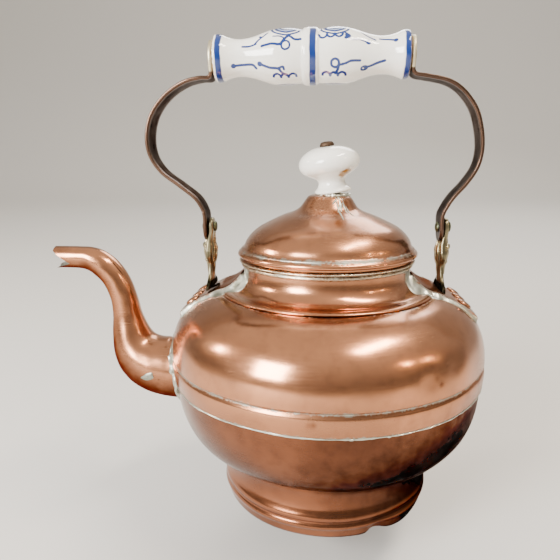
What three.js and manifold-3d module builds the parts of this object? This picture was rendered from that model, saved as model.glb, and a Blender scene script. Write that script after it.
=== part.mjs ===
// A copper water kettle: a footed, two-piece round body, a swan-neck spout, a lift-off lid with a
// porcelain knob, and a strap bail with a porcelain grip, hinged on two cast brass lugs.
// Millimetres. +Z is up, the spout points along -X, and the bail lies in the XZ plane.
// Every shape is drawn about the body's own axis and the whole kettle is moved at the end.
import * as THREE from "three";
import { mergeVertices } from "three/addons/utils/BufferGeometryUtils.js";
import Module from "manifold-3d";

const wasm = await Module();
wasm.setup();

// ---- driving dimensions ------------------------------------------------------------------
const sheet = 1.2; // copper sheet of the body
const clearance = 0.3; // between pieces that rest on, or are cut to, one another
const roundSides = 40;

const footRadius = 64.9; // at the floor
const footRim = 3.2; // width of the rolled edge it stands on

const neckRadius = 52; // outside of the neck
const bodyRadius = 97.8; // widest, outside
const seamHeight = 81; // where the upper shell laps over the bowl
const creaseRise = 12; // from the seam up to the raised crease
const creaseHeight = seamHeight + creaseRise;
const widestHeight = creaseHeight + 1; // where the shoulder starts to turn in
const shoulderRise = 41; // from there to where the shoulder would close
const shoulderTop = widestHeight + shoulderRise;
const shoulderInner = neckRadius - 2; // radius where the shoulder would close
const shoulderPower = 2.28;
const lap = 5; // how far the bowl runs up inside the shell
const lapGap = 0.2; // between the bowl's rim and the shell
const bowlRadius = bodyRadius - 0.4 - sheet - lapGap; // the bowl just under the seam
const bowlInset = 10.9; // its side turns into the bottom this far inside the foot
const bowlInner = footRadius - bowlInset;
const bowlPower = 2.24;
const bowlRoll = 7.5; // height of the turn above the bottom
const bowlFloor = 23; // underside of the kettle's bottom

const flangeWidth = 14.3; // how far the collar reaches out over the shoulder
const flangeRadius = neckRadius + flangeWidth;
const coveWidth = 8.5; // the hollow curve between flange and neck
const coveRise = 10.1;
const neckStraight = 3.3; // the upright part of the neck above it
const beadHeight = 4.2;
const beadOut = 2.6; // how far the bead stands out of the neck

const lidOverhang = 3.6; // the lid's rim stands this far out of the neck
const lidRadius = neckRadius + lidOverhang;
const lidRimHeight = 4.0;
const lidTopRadius = 12.8; // small flat top that carries the knob
const lidRise = 32.4; // from the rim's top to the flat top
const sleeveDepth = 12; // lid sleeve inside the neck
const sleeveGap = 1.6; // running gap between sleeve and neck
const lidShift = 0.4; // the lid sits pushed over to the far side of the neck

const knobRadius = 18.8;
const knobHeight = 27.6;
const knobLean = 8; // degrees towards the spout
const knobShift = 3.2; // the knob stands off the middle of the lid
const boltRadius = 2;

const spoutRootRadius = 20;
const spoutTipRadius = 7.1;
const spoutWall = 1.2;
const spoutHeight = seamHeight - 4; // middle of the spout's root
const spoutReach = 77.6; // from the body's side to the tip
const spoutRise = 74.9; // from the root up to the tip

const lugThick = 3.6;
const lugBase = 29; // width of the lug's foot along Y
const pivotRise = 37.5; // of the bail's pivot above the shoulder
const pivotHeight = shoulderTop + pivotRise;
const pivotRadius = 2.4;
const plateWidth = 40;
const plateThick = 1.8;
const plateInset = 7.3; // the plate ends this far inside the body's widest line
const plateOuter = bodyRadius - plateInset;
const lugAcross = (lidRadius + plateOuter) / 2 - 0.75; // each lug's middle plane from the axis
const rivetAcross = lugAcross + (plateOuter - lugAcross) * 0.588;
const rivetPitch = 15;

const strapThick = 2.2;
const strapWidth = 17;
const gripLength = 113;
const gripCentre = -10.3; // the bail is pushed over towards the spout
const bailRise = 99.5; // from the pivot up to the grip's axis
const gripHeight = pivotHeight + bailRise;
const bailBulge = [37.61, 32.67]; // how far each strap bows out, spout side and far side
const gripRadius = 15.9;
const gripEndPlate = 10.6; // radius of the strap's turned-up end
const gripEndGap = 0.8; // between the turned-up end and the porcelain
const rodRadius = 2.5; // the rod through the grip

// ---- colours -------------------------------------------------------------------------------
const finish = (color, roughness, metalness) =>
  new THREE.MeshStandardMaterial({ color, roughness, metalness });
const copper = finish(0xa5674a, 0.35, 1);
const darkCopper = finish(0x5a3426, 0.45, 1);
const brass = finish(0x8f7c4e, 0.45, 1);
const solder = finish(0xb9bab2, 0.5, 1);
const porcelain = finish(0xf1ede4, 0.15, 0);
const iron = finish(0x4d4238, 0.6, 1);

// ---- geometry helpers ----------------------------------------------------------------------
// A ring of revolution from a closed loop of [radius, height] points, in either direction.
function turned(loop, sides = roundSides) {
  let area = 0;
  loop.forEach(([r, z], i) => {
    const [r2, z2] = loop[(i + 1) % loop.length];
    area += r * z2 - r2 * z;
  });
  const path = area > 0 ? loop : [...loop].reverse();
  const start = path.findIndex(([r]) => r < 1e-6);
  const onAxis = start >= 0;
  let points = path;
  if (onAxis) {
    // Open the loop along the axis, so that no face lies on the axis itself.
    const next = (start + 1) % path.length;
    const first = path[next][0] < 1e-6 ? next : start;
    points = path.slice(first).concat(path.slice(0, first));
  } else {
    points = path.concat([path[0]]);
  }
  const lathe = new THREE.LatheGeometry(
    points.map(([r, z]) => new THREE.Vector2(Math.max(r, 0), z)),
    sides,
  );
  lathe.rotateX(Math.PI / 2);
  return lathe;
}

// A three.js geometry as a closed solid that can be cut and joined.
function solidOf(geometry) {
  const bare = geometry.index ? geometry.toNonIndexed() : geometry.clone();
  bare.deleteAttribute("normal");
  bare.deleteAttribute("uv");
  const merged = mergeVertices(bare, 1e-4);
  const made = new wasm.Manifold(
    new wasm.Mesh({
      numProp: 3,
      vertProperties: new Float32Array(merged.attributes.position.array),
      triVerts: new Uint32Array(merged.index.array),
    }),
  );
  return made;
}

// And back again.
function geometryOf(solid) {
  const mesh = solid.getMesh();
  const points = new Float32Array(mesh.numProp === 3 ? mesh.vertProperties : []);
  const geometry = new THREE.BufferGeometry();
  geometry.setAttribute("position", new THREE.BufferAttribute(points, 3));
  geometry.setIndex(new THREE.BufferAttribute(new Uint32Array(mesh.triVerts), 1));
  geometry.computeVertexNormals();
  return geometry;
}

const moved = (geometry, x, y, z) => geometry.translate(x, y, z);
const boxAt = (x0, x1, y0, y1, z0, z1) =>
  moved(
    new THREE.BoxGeometry(x1 - x0, y1 - y0, z1 - z0),
    (x0 + x1) / 2,
    (y0 + y1) / 2,
    (z0 + z1) / 2,
  );

// A quarter of a rounded-square curve from [r0, z0], where it runs upright, to [r1, z1], where it
// lies flat. A power of 2 is an ellipse and a larger one is squarer.
function quarter(r0, z0, r1, z1, power, steps) {
  const points = [];
  for (let i = 0; i <= steps; i += 1) {
    const a = (i / steps) * (Math.PI / 2);
    points.push([
      r1 + (r0 - r1) * Math.cos(a) ** (2 / power),
      z1 === z0 ? z0 : z0 + (z1 - z0) * Math.sin(a) ** (2 / power),
    ]);
  }
  return points;
}

// ---- body ----------------------------------------------------------------------------------
// Outside of the upper shell, pushed out by some distance.
function shellOutside(out, steps = 9) {
  const shoulder = quarter(
    bodyRadius + out,
    widestHeight,
    shoulderInner,
    shoulderTop + out,
    shoulderPower,
    steps,
  );
  const crease = [
    [bodyRadius - 0.4 + out, seamHeight - out],
    [bodyRadius - 0.3 + out, (seamHeight + creaseHeight) / 2 - 1],
    [bodyRadius - 0.3 + out, creaseHeight - 2],
    [bodyRadius + 0.1 + out, creaseHeight - 0.6],
  ];
  return crease.concat(shoulder);
}

// Outside of the lower bowl, pushed out by some distance, from the seam down to the bottom.
function bowlOutside(out, steps = 8) {
  return quarter(
    bowlRadius + out,
    seamHeight,
    bowlInner,
    bowlFloor + bowlRoll - out,
    bowlPower,
    steps,
  );
}

// Radius of the bowl's outside at a height, and height at a radius.
function bowlRadiusAt(z) {
  const share = (seamHeight - z) / (seamHeight - bowlFloor - bowlRoll);
  return bowlInner + (bowlRadius - bowlInner) * (1 - share ** bowlPower) ** (1 / bowlPower);
}
function bowlHeightAt(r) {
  const share = (r - bowlInner) / (bowlRadius - bowlInner);
  const fall = (1 - share ** bowlPower) ** (1 / bowlPower);
  return seamHeight - (seamHeight - bowlFloor - bowlRoll) * fall;
}

function shellSolidLoop() {
  const outside = shellOutside(0);
  const inside = shellOutside(-sheet);
  // The shell stops at the neck opening.
  const stop = neckRadius + 4;
  const cut = (points, z) => points.filter(([r]) => r > stop).concat([[stop, z]]);
  const zAt = (out) => shellHeightAt(stop, out);
  inside[0][1] = seamHeight;
  return cut(outside, zAt(0)).concat(cut(inside, zAt(-sheet)).reverse());
}

// Height of the shoulder's outside at a radius.
function shellHeightAt(r, out = 0) {
  const share = (r - shoulderInner) / (bodyRadius + out - shoulderInner);
  const rise = (1 - share ** shoulderPower) ** (1 / shoulderPower);
  return widestHeight + (shoulderTop + out - widestHeight) * rise;
}

const shellEdge = bodyRadius - 0.4; // outside of the shell at the seam
const bowlRim = shellEdge - sheet - 0.15; // outside of the bowl's rim inside the shell
const bowlLoop = (() => {
  const rim = [
    [bowlRim, seamHeight + lap],
    [bowlRim, seamHeight - 0.4],
  ];
  const outside = bowlOutside(0);
  const bottom = [
    [bowlInner - 10, bowlFloor + 1],
    [0, bowlFloor],
  ];
  const insideBottom = [
    [0, bowlFloor + sheet],
    [bowlInner - 10, bowlFloor + 1 + sheet],
  ];
  const inside = bowlOutside(-sheet).reverse();
  const insideRim = [[bowlRim - sheet, seamHeight + lap]];
  return rim.concat(outside.slice(1), bottom, insideBottom, inside, insideRim);
})();

// The foot: a drum with two rolled ridges above a plain band.
const footTopRadius = footRadius + 0.2;
const footLoop = (() => {
  const r = footRadius;
  const footHeight = bowlHeightAt(footTopRadius) - clearance;
  const outside = [
    [r, 0],
    [r + 0.3, 5.2],
    [r + 1.6, 6.2],
    [r + 1.7, 7.8],
    [r + 0.6, 9.2],
    [r + 0.5, 10.6],
    [r + 1.6, 11.6],
    [r + 1.6, 13.2],
    [r + 0.2, 15.0],
    [r - 1.0, footHeight * 0.68],
    [r - 0.6, footHeight * 0.87],
    [footTopRadius, footHeight],
  ];
  const inside = [
    [footTopRadius - sheet, bowlHeightAt(footTopRadius - sheet) - clearance],
    [r - 0.6 - sheet, footHeight * 0.86],
    [r - 1.0 - sheet, footHeight * 0.68],
    [r - 0.8 - sheet, 14.5],
    [r - footRim + 1.6, 6],
    [r - footRim, 3],
    [r - footRim, 0],
  ];
  return outside.concat(inside);
})();

// The collar rests on the shoulder with half the clearance under it. Its outside is a list of
// points from the flange's edge, through the cove, up to the bead.
const collarLift = clearance / 2;
const flangeTop = shellHeightAt(flangeRadius) + collarLift + sheet;
const coveStart = neckRadius + coveWidth;
const coveFoot = shellHeightAt(coveStart) + collarLift + sheet + 0.3;
const neckTop = coveFoot + coveRise + neckStraight; // where the rim bead starts
const collarOutside = [
  [flangeRadius, flangeTop],
  [coveStart, coveFoot],
  [neckRadius + 5, coveFoot + coveRise * 0.2],
  [neckRadius + 2.2, coveFoot + coveRise * 0.43],
  [neckRadius + 0.6, coveFoot + coveRise * 0.7],
  [neckRadius, coveFoot + coveRise],
  [neckRadius, neckTop],
];
const collarLoop = (() => {
  const turnIn = neckRadius + 4.2;
  const inside = [
    [neckRadius - sheet, neckTop],
    [neckRadius - sheet, coveFoot + coveRise * 0.96],
    [neckRadius + 0.4 - sheet, coveFoot + coveRise * 0.64],
    [neckRadius + 2.1 - sheet, coveFoot + coveRise * 0.33],
    [turnIn, shellHeightAt(turnIn) + collarLift + 0.25],
    [coveStart, shellHeightAt(coveStart) + collarLift],
    [flangeRadius, shellHeightAt(flangeRadius) + collarLift],
  ];
  return collarOutside.concat(inside);
})();

const beadLoop = (() => {
  const low = neckTop + 0.1;
  const out = neckRadius + beadOut;
  return [
    [neckRadius - sheet, low],
    [out - 1.8, low],
    [out - 1.2, low + 0.8],
    [out - 1.6, low + beadHeight * 0.45],
    [out, low + beadHeight - 1],
    [out - 0.8, low + beadHeight],
    [neckRadius - sheet, low + beadHeight],
  ];
})();
const beadTop = neckTop + 0.1 + beadHeight;

// A low fillet of solder round the seam, under the edge of the upper shell.
const seamSolderLoop = (() => {
  const r = shellEdge;
  const low = seamHeight - 2.4;
  return [
    [bowlRadius + 0.1, seamHeight - 0.5],
    [bowlRadiusAt(low) + 0.12, low],
    [bowlRadiusAt(low) + 0.5, low],
    [r - 0.3, seamHeight - 1.6],
    [r, seamHeight - 0.4],
    [r - 0.2, seamHeight - 0.12],
    [bowlRadius + 0.1, seamHeight - 0.12],
  ];
})();

// ---- spout ---------------------------------------------------------------------------------
// Stations along the swan neck: how far out of the body's side as a share of the reach, how high
// above the root as a share of the rise, heading in degrees from -X towards +Z, and where the
// radius stands between the tip's (0) and the root's (1).
const spoutStations = [
  [-0.155, 0, 0, 1],
  [-0.039, 0, 0, 1],
  [0.077, 0.011, 8, 0.984],
  [0.206, 0.051, 28, 0.922],
  [0.309, 0.136, 50, 0.76],
  [0.366, 0.243, 69, 0.543],
  [0.389, 0.367, 81, 0.349],
  [0.405, 0.494, 88, 0.186],
  [0.42, 0.607, 84, 0.124],
  [0.448, 0.721, 74, 0.109],
  [0.497, 0.83, 58, 0.101],
  [0.575, 0.921, 39, 0.093],
  [0.677, 0.983, 20, 0.062],
  [0.799, 1, 4, 0.008],
  [1, 1, 0, 0],
].map(([out, up, heading, share]) => [
  -bodyRadius - out * spoutReach,
  spoutHeight + up * spoutRise,
  heading,
  spoutTipRadius + (spoutRootRadius - spoutTipRadius) * share,
]);

// A closed skin through rings that are square to the path. `less` thins it, `reach` extends both
// ends, so that the same call makes the outside and the bore.
function sweptSpout(less, reach, sides) {
  const rings = spoutStations.map(([x, z, heading, r], i) => {
    const a = THREE.MathUtils.degToRad(heading);
    const end = i === 0 ? -reach : i === spoutStations.length - 1 ? reach : 0;
    return {
      x: x - Math.cos(a) * end,
      z: z + Math.sin(a) * end,
      up: [Math.sin(a), Math.cos(a)],
      r: r - less,
    };
  });
  const points = [];
  rings.forEach(({ x, z, up, r }) => {
    for (let k = 0; k < sides; k += 1) {
      const t = (k / sides) * Math.PI * 2;
      points.push(x + up[0] * Math.cos(t) * r, Math.sin(t) * r, z + up[1] * Math.cos(t) * r);
    }
  });
  const faces = [];
  for (let i = 0; i + 1 < rings.length; i += 1) {
    for (let k = 0; k < sides; k += 1) {
      const a = i * sides + k;
      const b = i * sides + ((k + 1) % sides);
      const c = a + sides;
      const d = b + sides;
      faces.push(a, b, c, b, d, c);
    }
  }
  const firstCentre = points.length / 3;
  points.push(rings[0].x, 0, rings[0].z);
  const last = rings.length - 1;
  points.push(rings[last].x, 0, rings[last].z);
  for (let k = 0; k < sides; k += 1) {
    const next = (k + 1) % sides;
    faces.push(firstCentre, next, k);
    faces.push(firstCentre + 1, last * sides + k, last * sides + next);
  }
  const geometry = new THREE.BufferGeometry();
  geometry.setAttribute("position", new THREE.Float32BufferAttribute(points, 3));
  geometry.setIndex(faces);
  return geometry;
}

function facingOut(geometry) {
  const solid = solidOf(geometry);
  if (solid.volume() > 0) return solid;
  const index = geometry.index.array;
  for (let i = 0; i < index.length; i += 3) {
    [index[i + 1], index[i + 2]] = [index[i + 2], index[i + 1]];
  }
  return solidOf(geometry);
}

const spoutOuter = facingOut(sweptSpout(0, 0, 20));
const spoutBore = facingOut(sweptSpout(spoutWall, 3, 20));
// The body's outside as one full solid, for cutting what fits against it.
function bodyBlock(out) {
  const shell = shellOutside(out);
  const bowl = bowlOutside(out).reverse();
  const top = shell[shell.length - 1];
  const loop = [[0, bowlFloor + bowlRoll - out]].concat(bowl, shell.slice(0, -1), [
    [top[0], top[1]],
    [0, top[1]],
  ]);
  return solidOf(turned(loop));
}
const bodyCutter = bodyBlock(clearance);

// The mouth is cut to a beak: a wedge taken out of both sides.
const beak = (() => {
  const [tipX, tipZ] = spoutStations[spoutStations.length - 1];
  const r = spoutTipRadius;
  const wedge = new THREE.Shape();
  wedge.moveTo(tipX + 10, tipZ - 3.1);
  wedge.lineTo(tipX + 0.4, tipZ + r - 0.8);
  wedge.lineTo(tipX - 8.4, tipZ + r + 7);
  wedge.lineTo(tipX - 12.4, tipZ - r - 4.8);
  wedge.lineTo(tipX - 0.6, tipZ - r + 0.4);
  wedge.closePath();
  const cut = new THREE.ExtrudeGeometry(wedge, { depth: 40, bevelEnabled: false });
  cut.rotateX(Math.PI / 2); // shape plane to XZ, extruded along -Y
  moved(cut, 0, 20, 0);
  return solidOf(cut);
})();
const spoutSolid = spoutOuter.subtract(spoutBore).subtract(bodyCutter).subtract(beak);

// The rough ring of solder that holds the spout's root.
const spoutSolderSolid = (() => {
  const loop = [
    [spoutRootRadius + clearance, 0],
    [spoutRootRadius + 3.4, 0],
    [spoutRootRadius + 3.0, 8],
    [spoutRootRadius + 1.6, 10.4],
    [spoutRootRadius + clearance + 0.3, 11.8],
    [spoutRootRadius + clearance, 11.8],
  ];
  const ring = turned(loop, 32);
  ring.rotateY(-Math.PI / 2);
  moved(ring, -bodyRadius + 7, 0, spoutHeight);
  const fat = facingOut(sweptSpout(-clearance, 0, 20));
  return solidOf(ring).subtract(bodyCutter).subtract(fat);
})();

// The hole that joins the body to the spout.
const spoutHole = (() => {
  const r = spoutRootRadius - 4.5;
  const drill = new THREE.CylinderGeometry(r, r, 30, 24);
  drill.rotateZ(Math.PI / 2);
  moved(drill, -bodyRadius + 5, 0, spoutHeight);
  return solidOf(drill);
})();

// ---- lug plates, solder, rivets and lugs -------------------------------------------------------
// The body and collar together, pushed out by some distance, for cutting what lies on them.
function skin(out) {
  const [, ...cove] = collarOutside;
  const base = widestHeight + shoulderRise / 2;
  const spread = [0.5, 0.7, 0.8, 1, 1, 1];
  const raise = [1, 1, 0.7, 0.4, 0, -1];
  const loop = [
    [0, base],
    [flangeRadius + out, base],
    [flangeRadius + out, flangeTop + out],
    ...cove.map(([r, z], i) => [r + out * spread[i], z + out * raise[i]]),
    [neckRadius + beadOut + out, neckTop - out],
    [neckRadius + beadOut + out, beadTop + out],
    [0, beadTop + out],
  ];
  return bodyBlock(out).add(solidOf(turned(loop)));
}
const skinCutter = skin(clearance);

// Underside of a lug plate: it lies flat across the kettle and bends down the shoulder.
const plateLine = (() => {
  const overCove = [
    [-3.5, 11.7],
    [-0.4, 7.7],
    [2.4, 5.0],
    [5.2, 2.7],
    [8.8, 0.9],
  ].map(([out, up]) => [neckRadius + out, coveFoot + up]);
  const overShoulder = [
    [0.235, 0.92],
    [0.484, 0.8],
    [0.731, 1.1],
    [0.897, 1.18],
    [1, 1.2],
  ].map(([share, up]) => {
    const x = flangeRadius + share * (plateOuter - flangeRadius);
    return [x, shellHeightAt(x) + up];
  });
  return [...overCove, [flangeRadius + 0.5, flangeTop + 0.7], ...overShoulder];
})();

// A slab in the XZ plane with the given outline, between two values of y.
function slabAlong(outline, side, y0, y1) {
  const shape = new THREE.Shape(outline.map(([x, z]) => new THREE.Vector2(side * x, z)));
  const slab = new THREE.ExtrudeGeometry(shape, { depth: y1 - y0, bevelEnabled: false });
  slab.rotateX(Math.PI / 2);
  return solidOf(moved(slab, 0, y1, 0));
}
const raised = (line, by) => line.map(([x, z]) => [x + by * 0.35, z + by * 0.93]);

function plateSolid(side) {
  const outline = plateLine.concat(raised(plateLine, plateThick).reverse());
  const slab = slabAlong(outline, side, -plateWidth / 2, plateWidth / 2);
  return slab.subtract(skinCutter);
}

// Solder that fills the wedge between the flat plate and the round shoulder, at one edge.
function plateSolderSolid(side, edge) {
  const lowered = plateLine.slice(1, -1).map(([x, z]) => [x - 0.1, z - clearance]);
  const base = widestHeight + shoulderRise / 2 - 2;
  const outline = lowered.concat([
    [lowered[lowered.length - 1][0], base],
    [lowered[0][0], base],
  ]);
  const near = plateWidth / 2 - 7.5;
  const far = plateWidth / 2 + 0.8;
  const ys = edge > 0 ? [near, far] : [-far, -near];
  return slabAlong(outline, side, ys[0], ys[1]).subtract(skinCutter);
}

// Height of the plate's top at a distance from the axis.
function plateTopAt(x) {
  const line = raised(plateLine, plateThick);
  const i = line.findIndex(([px]) => px > x);
  const [x0, z0] = line[i - 1];
  const [x1, z1] = line[i];
  return z0 + ((z1 - z0) * (x - x0)) / (x1 - x0);
}

// Dome-headed rivet standing square on the plate.
function rivet(side, across, along) {
  const slope = Math.atan2(plateTopAt(across - 1.5) - plateTopAt(across + 1.5), 3);
  const head = turned(
    [
      [0, 0],
      [3.3, 0],
      [3.0, 0.9],
      [1.9, 1.6],
      [0, 1.9],
    ],
    16,
  );
  const lift = clearance + 0.1;
  head.rotateY(side * slope);
  return moved(
    head,
    side * (across + Math.sin(slope) * lift),
    along,
    plateTopAt(across) + Math.cos(slope) * lift,
  );
}

// Flat outline of a lug in its own plane: u across (the kettle's Y), v up.
function lugOutline() {
  const half = lugBase / 2;
  const foot = plateTopAt(lugAcross) + 2.5;
  const low = foot - 19;
  const stem = 4.6;
  const leaf = 8.2;
  const top = pivotHeight;
  const shape = new THREE.Shape();
  shape.moveTo(-half, low);
  shape.lineTo(-half, foot);
  shape.quadraticCurveTo(-stem, foot + 2, -stem, top - 26.5);
  shape.quadraticCurveTo(-stem, top - 23.5, -leaf, top - 20);
  shape.quadraticCurveTo(-leaf - 1, top - 14.5, -6.2, top - 9.5);
  shape.lineTo(-5.6, top);
  shape.absarc(0, top, 5.6, Math.PI, 0, true);
  shape.lineTo(6.2, top - 9.5);
  shape.quadraticCurveTo(leaf + 1, top - 14.5, leaf, top - 20);
  shape.quadraticCurveTo(stem, top - 23.5, stem, top - 26.5);
  shape.quadraticCurveTo(stem, foot + 2, half, foot);
  shape.lineTo(half, low);
  shape.closePath();
  return shape;
}

// A shape drawn in (u, v) becomes a slab whose u is Y and v is Z, centred on x.
function slabAcross(shape, x, thick) {
  const slab = new THREE.ExtrudeGeometry(shape, {
    depth: thick,
    bevelEnabled: false,
    curveSegments: 5,
  });
  slab.rotateX(Math.PI / 2);
  slab.rotateZ(Math.PI / 2);
  return moved(slab, x - thick / 2, 0, 0);
}

function drillAcross(x, r, length) {
  const drill = new THREE.CylinderGeometry(r, r, length, 20);
  drill.rotateZ(Math.PI / 2);
  return solidOf(moved(drill, x, 0, pivotHeight));
}

// What the lug's foot is cut by: the plate's top with a small gap.
const lugSeat = (() => {
  const top = raised(plateLine, plateThick + clearance);
  const base = widestHeight + shoulderRise / 2 - 4;
  const outline = top.concat([
    [plateOuter + 4, base],
    [plateLine[0][0] - 4, base],
  ]);
  return {
    [-1]: slabAlong(outline, -1, -30, 30),
    [1]: slabAlong(outline, 1, -30, 30),
  };
})();
function lugSolid(side) {
  const x = side * lugAcross;
  const blade = solidOf(slabAcross(lugOutline(), x, lugThick));
  // The leaf is thicker than the blade and stops well below the strap's end.
  const leaf = new THREE.Shape();
  const top = pivotHeight - 12.5;
  leaf.moveTo(-3.4, top - 14);
  leaf.quadraticCurveTo(-7.4, top - 7, -4.2, top);
  leaf.lineTo(0, top + 2);
  leaf.lineTo(4.2, top);
  leaf.quadraticCurveTo(7.4, top - 7, 3.4, top - 14);
  leaf.lineTo(0, top - 16.5);
  leaf.closePath();
  const thickLeaf = solidOf(slabAcross(leaf, x, lugThick + 3.4));
  // Outward scroll near the top of the leaf.
  const scroll = new THREE.CylinderGeometry(2.6, 2.6, 9, 14);
  moved(scroll, x + side * 3.0, 0, pivotHeight - 14.3);
  return blade
    .add(thickLeaf)
    .add(solidOf(scroll))
    .subtract(drillAcross(x, pivotRadius + 0.15, 30))
    .subtract(lugSeat[side]);
}

// ---- bail ----------------------------------------------------------------------------------
const gripStart = gripCentre - gripLength / 2;
const gripEnd = gripCentre + gripLength / 2;

// Middle line of each strap in the XZ plane, from the pivot up to the turned-up end. Between
// them a point has its share of the height and its share of the bow outwards.
const strapBow = {
  [-1]: [
    [0.129, 0.055],
    [0.197, 0.166],
    [0.29, 0.454],
    [0.386, 0.761],
    [0.494, 0.943],
    [0.619, 1],
    [0.755, 0.942],
    [0.876, 0.746],
    [0.964, 0.44],
    [0.991, 0.187],
  ],
  [1]: [
    [0.129, 0.132],
    [0.21, 0.319],
    [0.302, 0.589],
    [0.406, 0.827],
    [0.517, 0.954],
    [0.656, 1],
    [0.782, 0.965],
    [0.894, 0.792],
    [0.948, 0.582],
    [0.98, 0.229],
  ],
};
function strapLine(side) {
  const end = side < 0 ? gripStart - gripEndGap : gripEnd + gripEndGap;
  // The spout side's strap is outside its lug and the far side's is inside.
  const x0 = side * lugAcross - lugThick / 2 - clearance - strapThick / 2;
  const reach = end + (side * strapThick) / 2;
  const elbow = gripHeight - gripEndPlate;
  const bulge = bailBulge[side < 0 ? 0 : 1];
  const low = [
    [x0, pivotHeight - strapWidth / 2],
    [x0, pivotHeight + 7.5],
  ];
  const middle = strapBow[side].map(([up, out]) => [
    x0 + (reach - x0) * up + side * bulge * out,
    pivotHeight + (elbow - pivotHeight) * up,
  ]);
  return { x0, low, middle, elbow: [reach, elbow], reach };
}

function strapSolid(side) {
  const { x0, low, middle, elbow, reach } = strapLine(side);
  const sweep = new THREE.CatmullRomCurve3(
    [low[1], ...middle, elbow].map(([x, z]) => new THREE.Vector3(x, z, 0)),
    false,
    "centripetal",
  );
  const line = [new THREE.Vector2(...low[0])];
  sweep.getPoints(30).forEach((p) => line.push(new THREE.Vector2(p.x, p.y)));
  line.push(new THREE.Vector2(reach, gripHeight + gripEndPlate + 1));
  // Both sides of the bent strip, from the middle line.
  const left = [];
  const right = [];
  line.forEach((p, i) => {
    const before = line[Math.max(i - 1, 0)];
    const after = line[Math.min(i + 1, line.length - 1)];
    const d1 = p.clone().sub(before).normalize();
    const d2 = after.clone().sub(p).normalize();
    const d = d1.add(d2).normalize();
    const n = new THREE.Vector2(-d.y, d.x);
    const inD = i > 0 ? p.clone().sub(before).normalize() : d;
    const stretch = 1 / Math.max(0.6, Math.abs(n.x * -inD.y + n.y * inD.x));
    left.push(p.clone().addScaledVector(n, (strapThick / 2) * stretch));
    right.push(p.clone().addScaledVector(n, (-strapThick / 2) * stretch));
  });
  const strip = new THREE.Shape([...left, ...right.reverse()]);
  const slab = new THREE.ExtrudeGeometry(strip, { depth: strapWidth, bevelEnabled: false });
  slab.rotateX(Math.PI / 2);
  moved(slab, 0, strapWidth / 2, 0);
  let solid = facingOut(slab);
  // Round the lower end about the pivot and the upper end about the grip's axis.
  const round = (z, r) => {
    const cap = new THREE.CylinderGeometry(r, r, 60, 28);
    cap.rotateZ(Math.PI / 2);
    const keep = solidOf(moved(cap, x0, 0, z));
    const zone = boxAt(x0 - 30, x0 + 30, -30, 30, z - 30, z);
    return solidOf(zone).subtract(keep);
  };
  solid = solid.subtract(round(pivotHeight, strapWidth / 2));
  const capX = reach;
  const endCap = new THREE.CylinderGeometry(gripEndPlate, gripEndPlate, 20, 28);
  endCap.rotateZ(Math.PI / 2);
  const endZone = boxAt(capX - 9, capX + 9, -30, 30, gripHeight, gripHeight + 30);
  solid = solid.subtract(
    solidOf(endZone).subtract(solidOf(moved(endCap, capX, 0, gripHeight))),
  );
  solid = solid.subtract(drillAcross(x0, pivotRadius + 0.05, 20));
  const rodHole = new THREE.CylinderGeometry(rodRadius + 0.2, rodRadius + 0.2, 20, 20);
  rodHole.rotateZ(Math.PI / 2);
  return solid.subtract(solidOf(moved(rodHole, capX, 0, gripHeight)));
}

// Grip outline: radius against distance from the spout end.
function gripLoop() {
  const half = gripLength / 2;
  const r = gripRadius;
  const halfOutline = [
    [half, r - 3.4],
    [half - 0.6, r - 2.6],
    [half - 3.8, r - 2.6],
    [half * 0.867, r - 4.2],
    [half * 0.735, r - 5.5],
    [half * 0.611, r - 4.8],
    [half * 0.451, r - 1.9],
    [half * 0.292, r - 0.1],
    [half * 0.168, r - 0.5],
    [half * 0.088, r - 0.9],
    [half * 0.053, r],
  ];
  const outline = halfOutline.concat(
    [...halfOutline].reverse().map(([u, radius]) => [-u, radius]),
  );
  const bore = rodRadius + 0.7;
  return outline
    .map(([u, radius]) => [radius, u])
    .concat([
      [bore, -half],
      [bore, half],
    ]);
}
const alongX = (geometry, x, z) => moved(geometry.rotateY(Math.PI / 2), x, 0, z);

// A rivet that holds strap and lug together: shank and two domed heads in one piece.
function pivotRivet(side) {
  const lugFace = lugThick / 2 + clearance;
  const strapReach = lugThick / 2 + clearance * 2 + strapThick;
  const inward = strapReach;
  const outward = lugFace;
  const r = pivotRadius;
  const head = 4.6;
  const loop = [
    [0, -inward - 1.9],
    [head * 0.6, -inward - 1.5],
    [head, -inward - 0.2],
    [head, -inward],
    [r, -inward],
    [r, outward],
    [head, outward],
    [head, outward + 0.2],
    [head * 0.6, outward + 1.5],
    [0, outward + 1.9],
  ];
  return alongX(turned(loop, 20), side * lugAcross, pivotHeight);
}

const rodLoop = (() => {
  const out = gripLength / 2 + gripEndGap + clearance + strapThick;
  return [
    [0, -out - 1],
    [rodRadius + 0.7, -out - 0.7],
    [rodRadius + 1.3, -out],
    [rodRadius, -out],
    [rodRadius, out],
    [rodRadius + 1.3, out],
    [rodRadius + 0.7, out + 0.7],
    [0, out + 1],
  ];
})();

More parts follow.
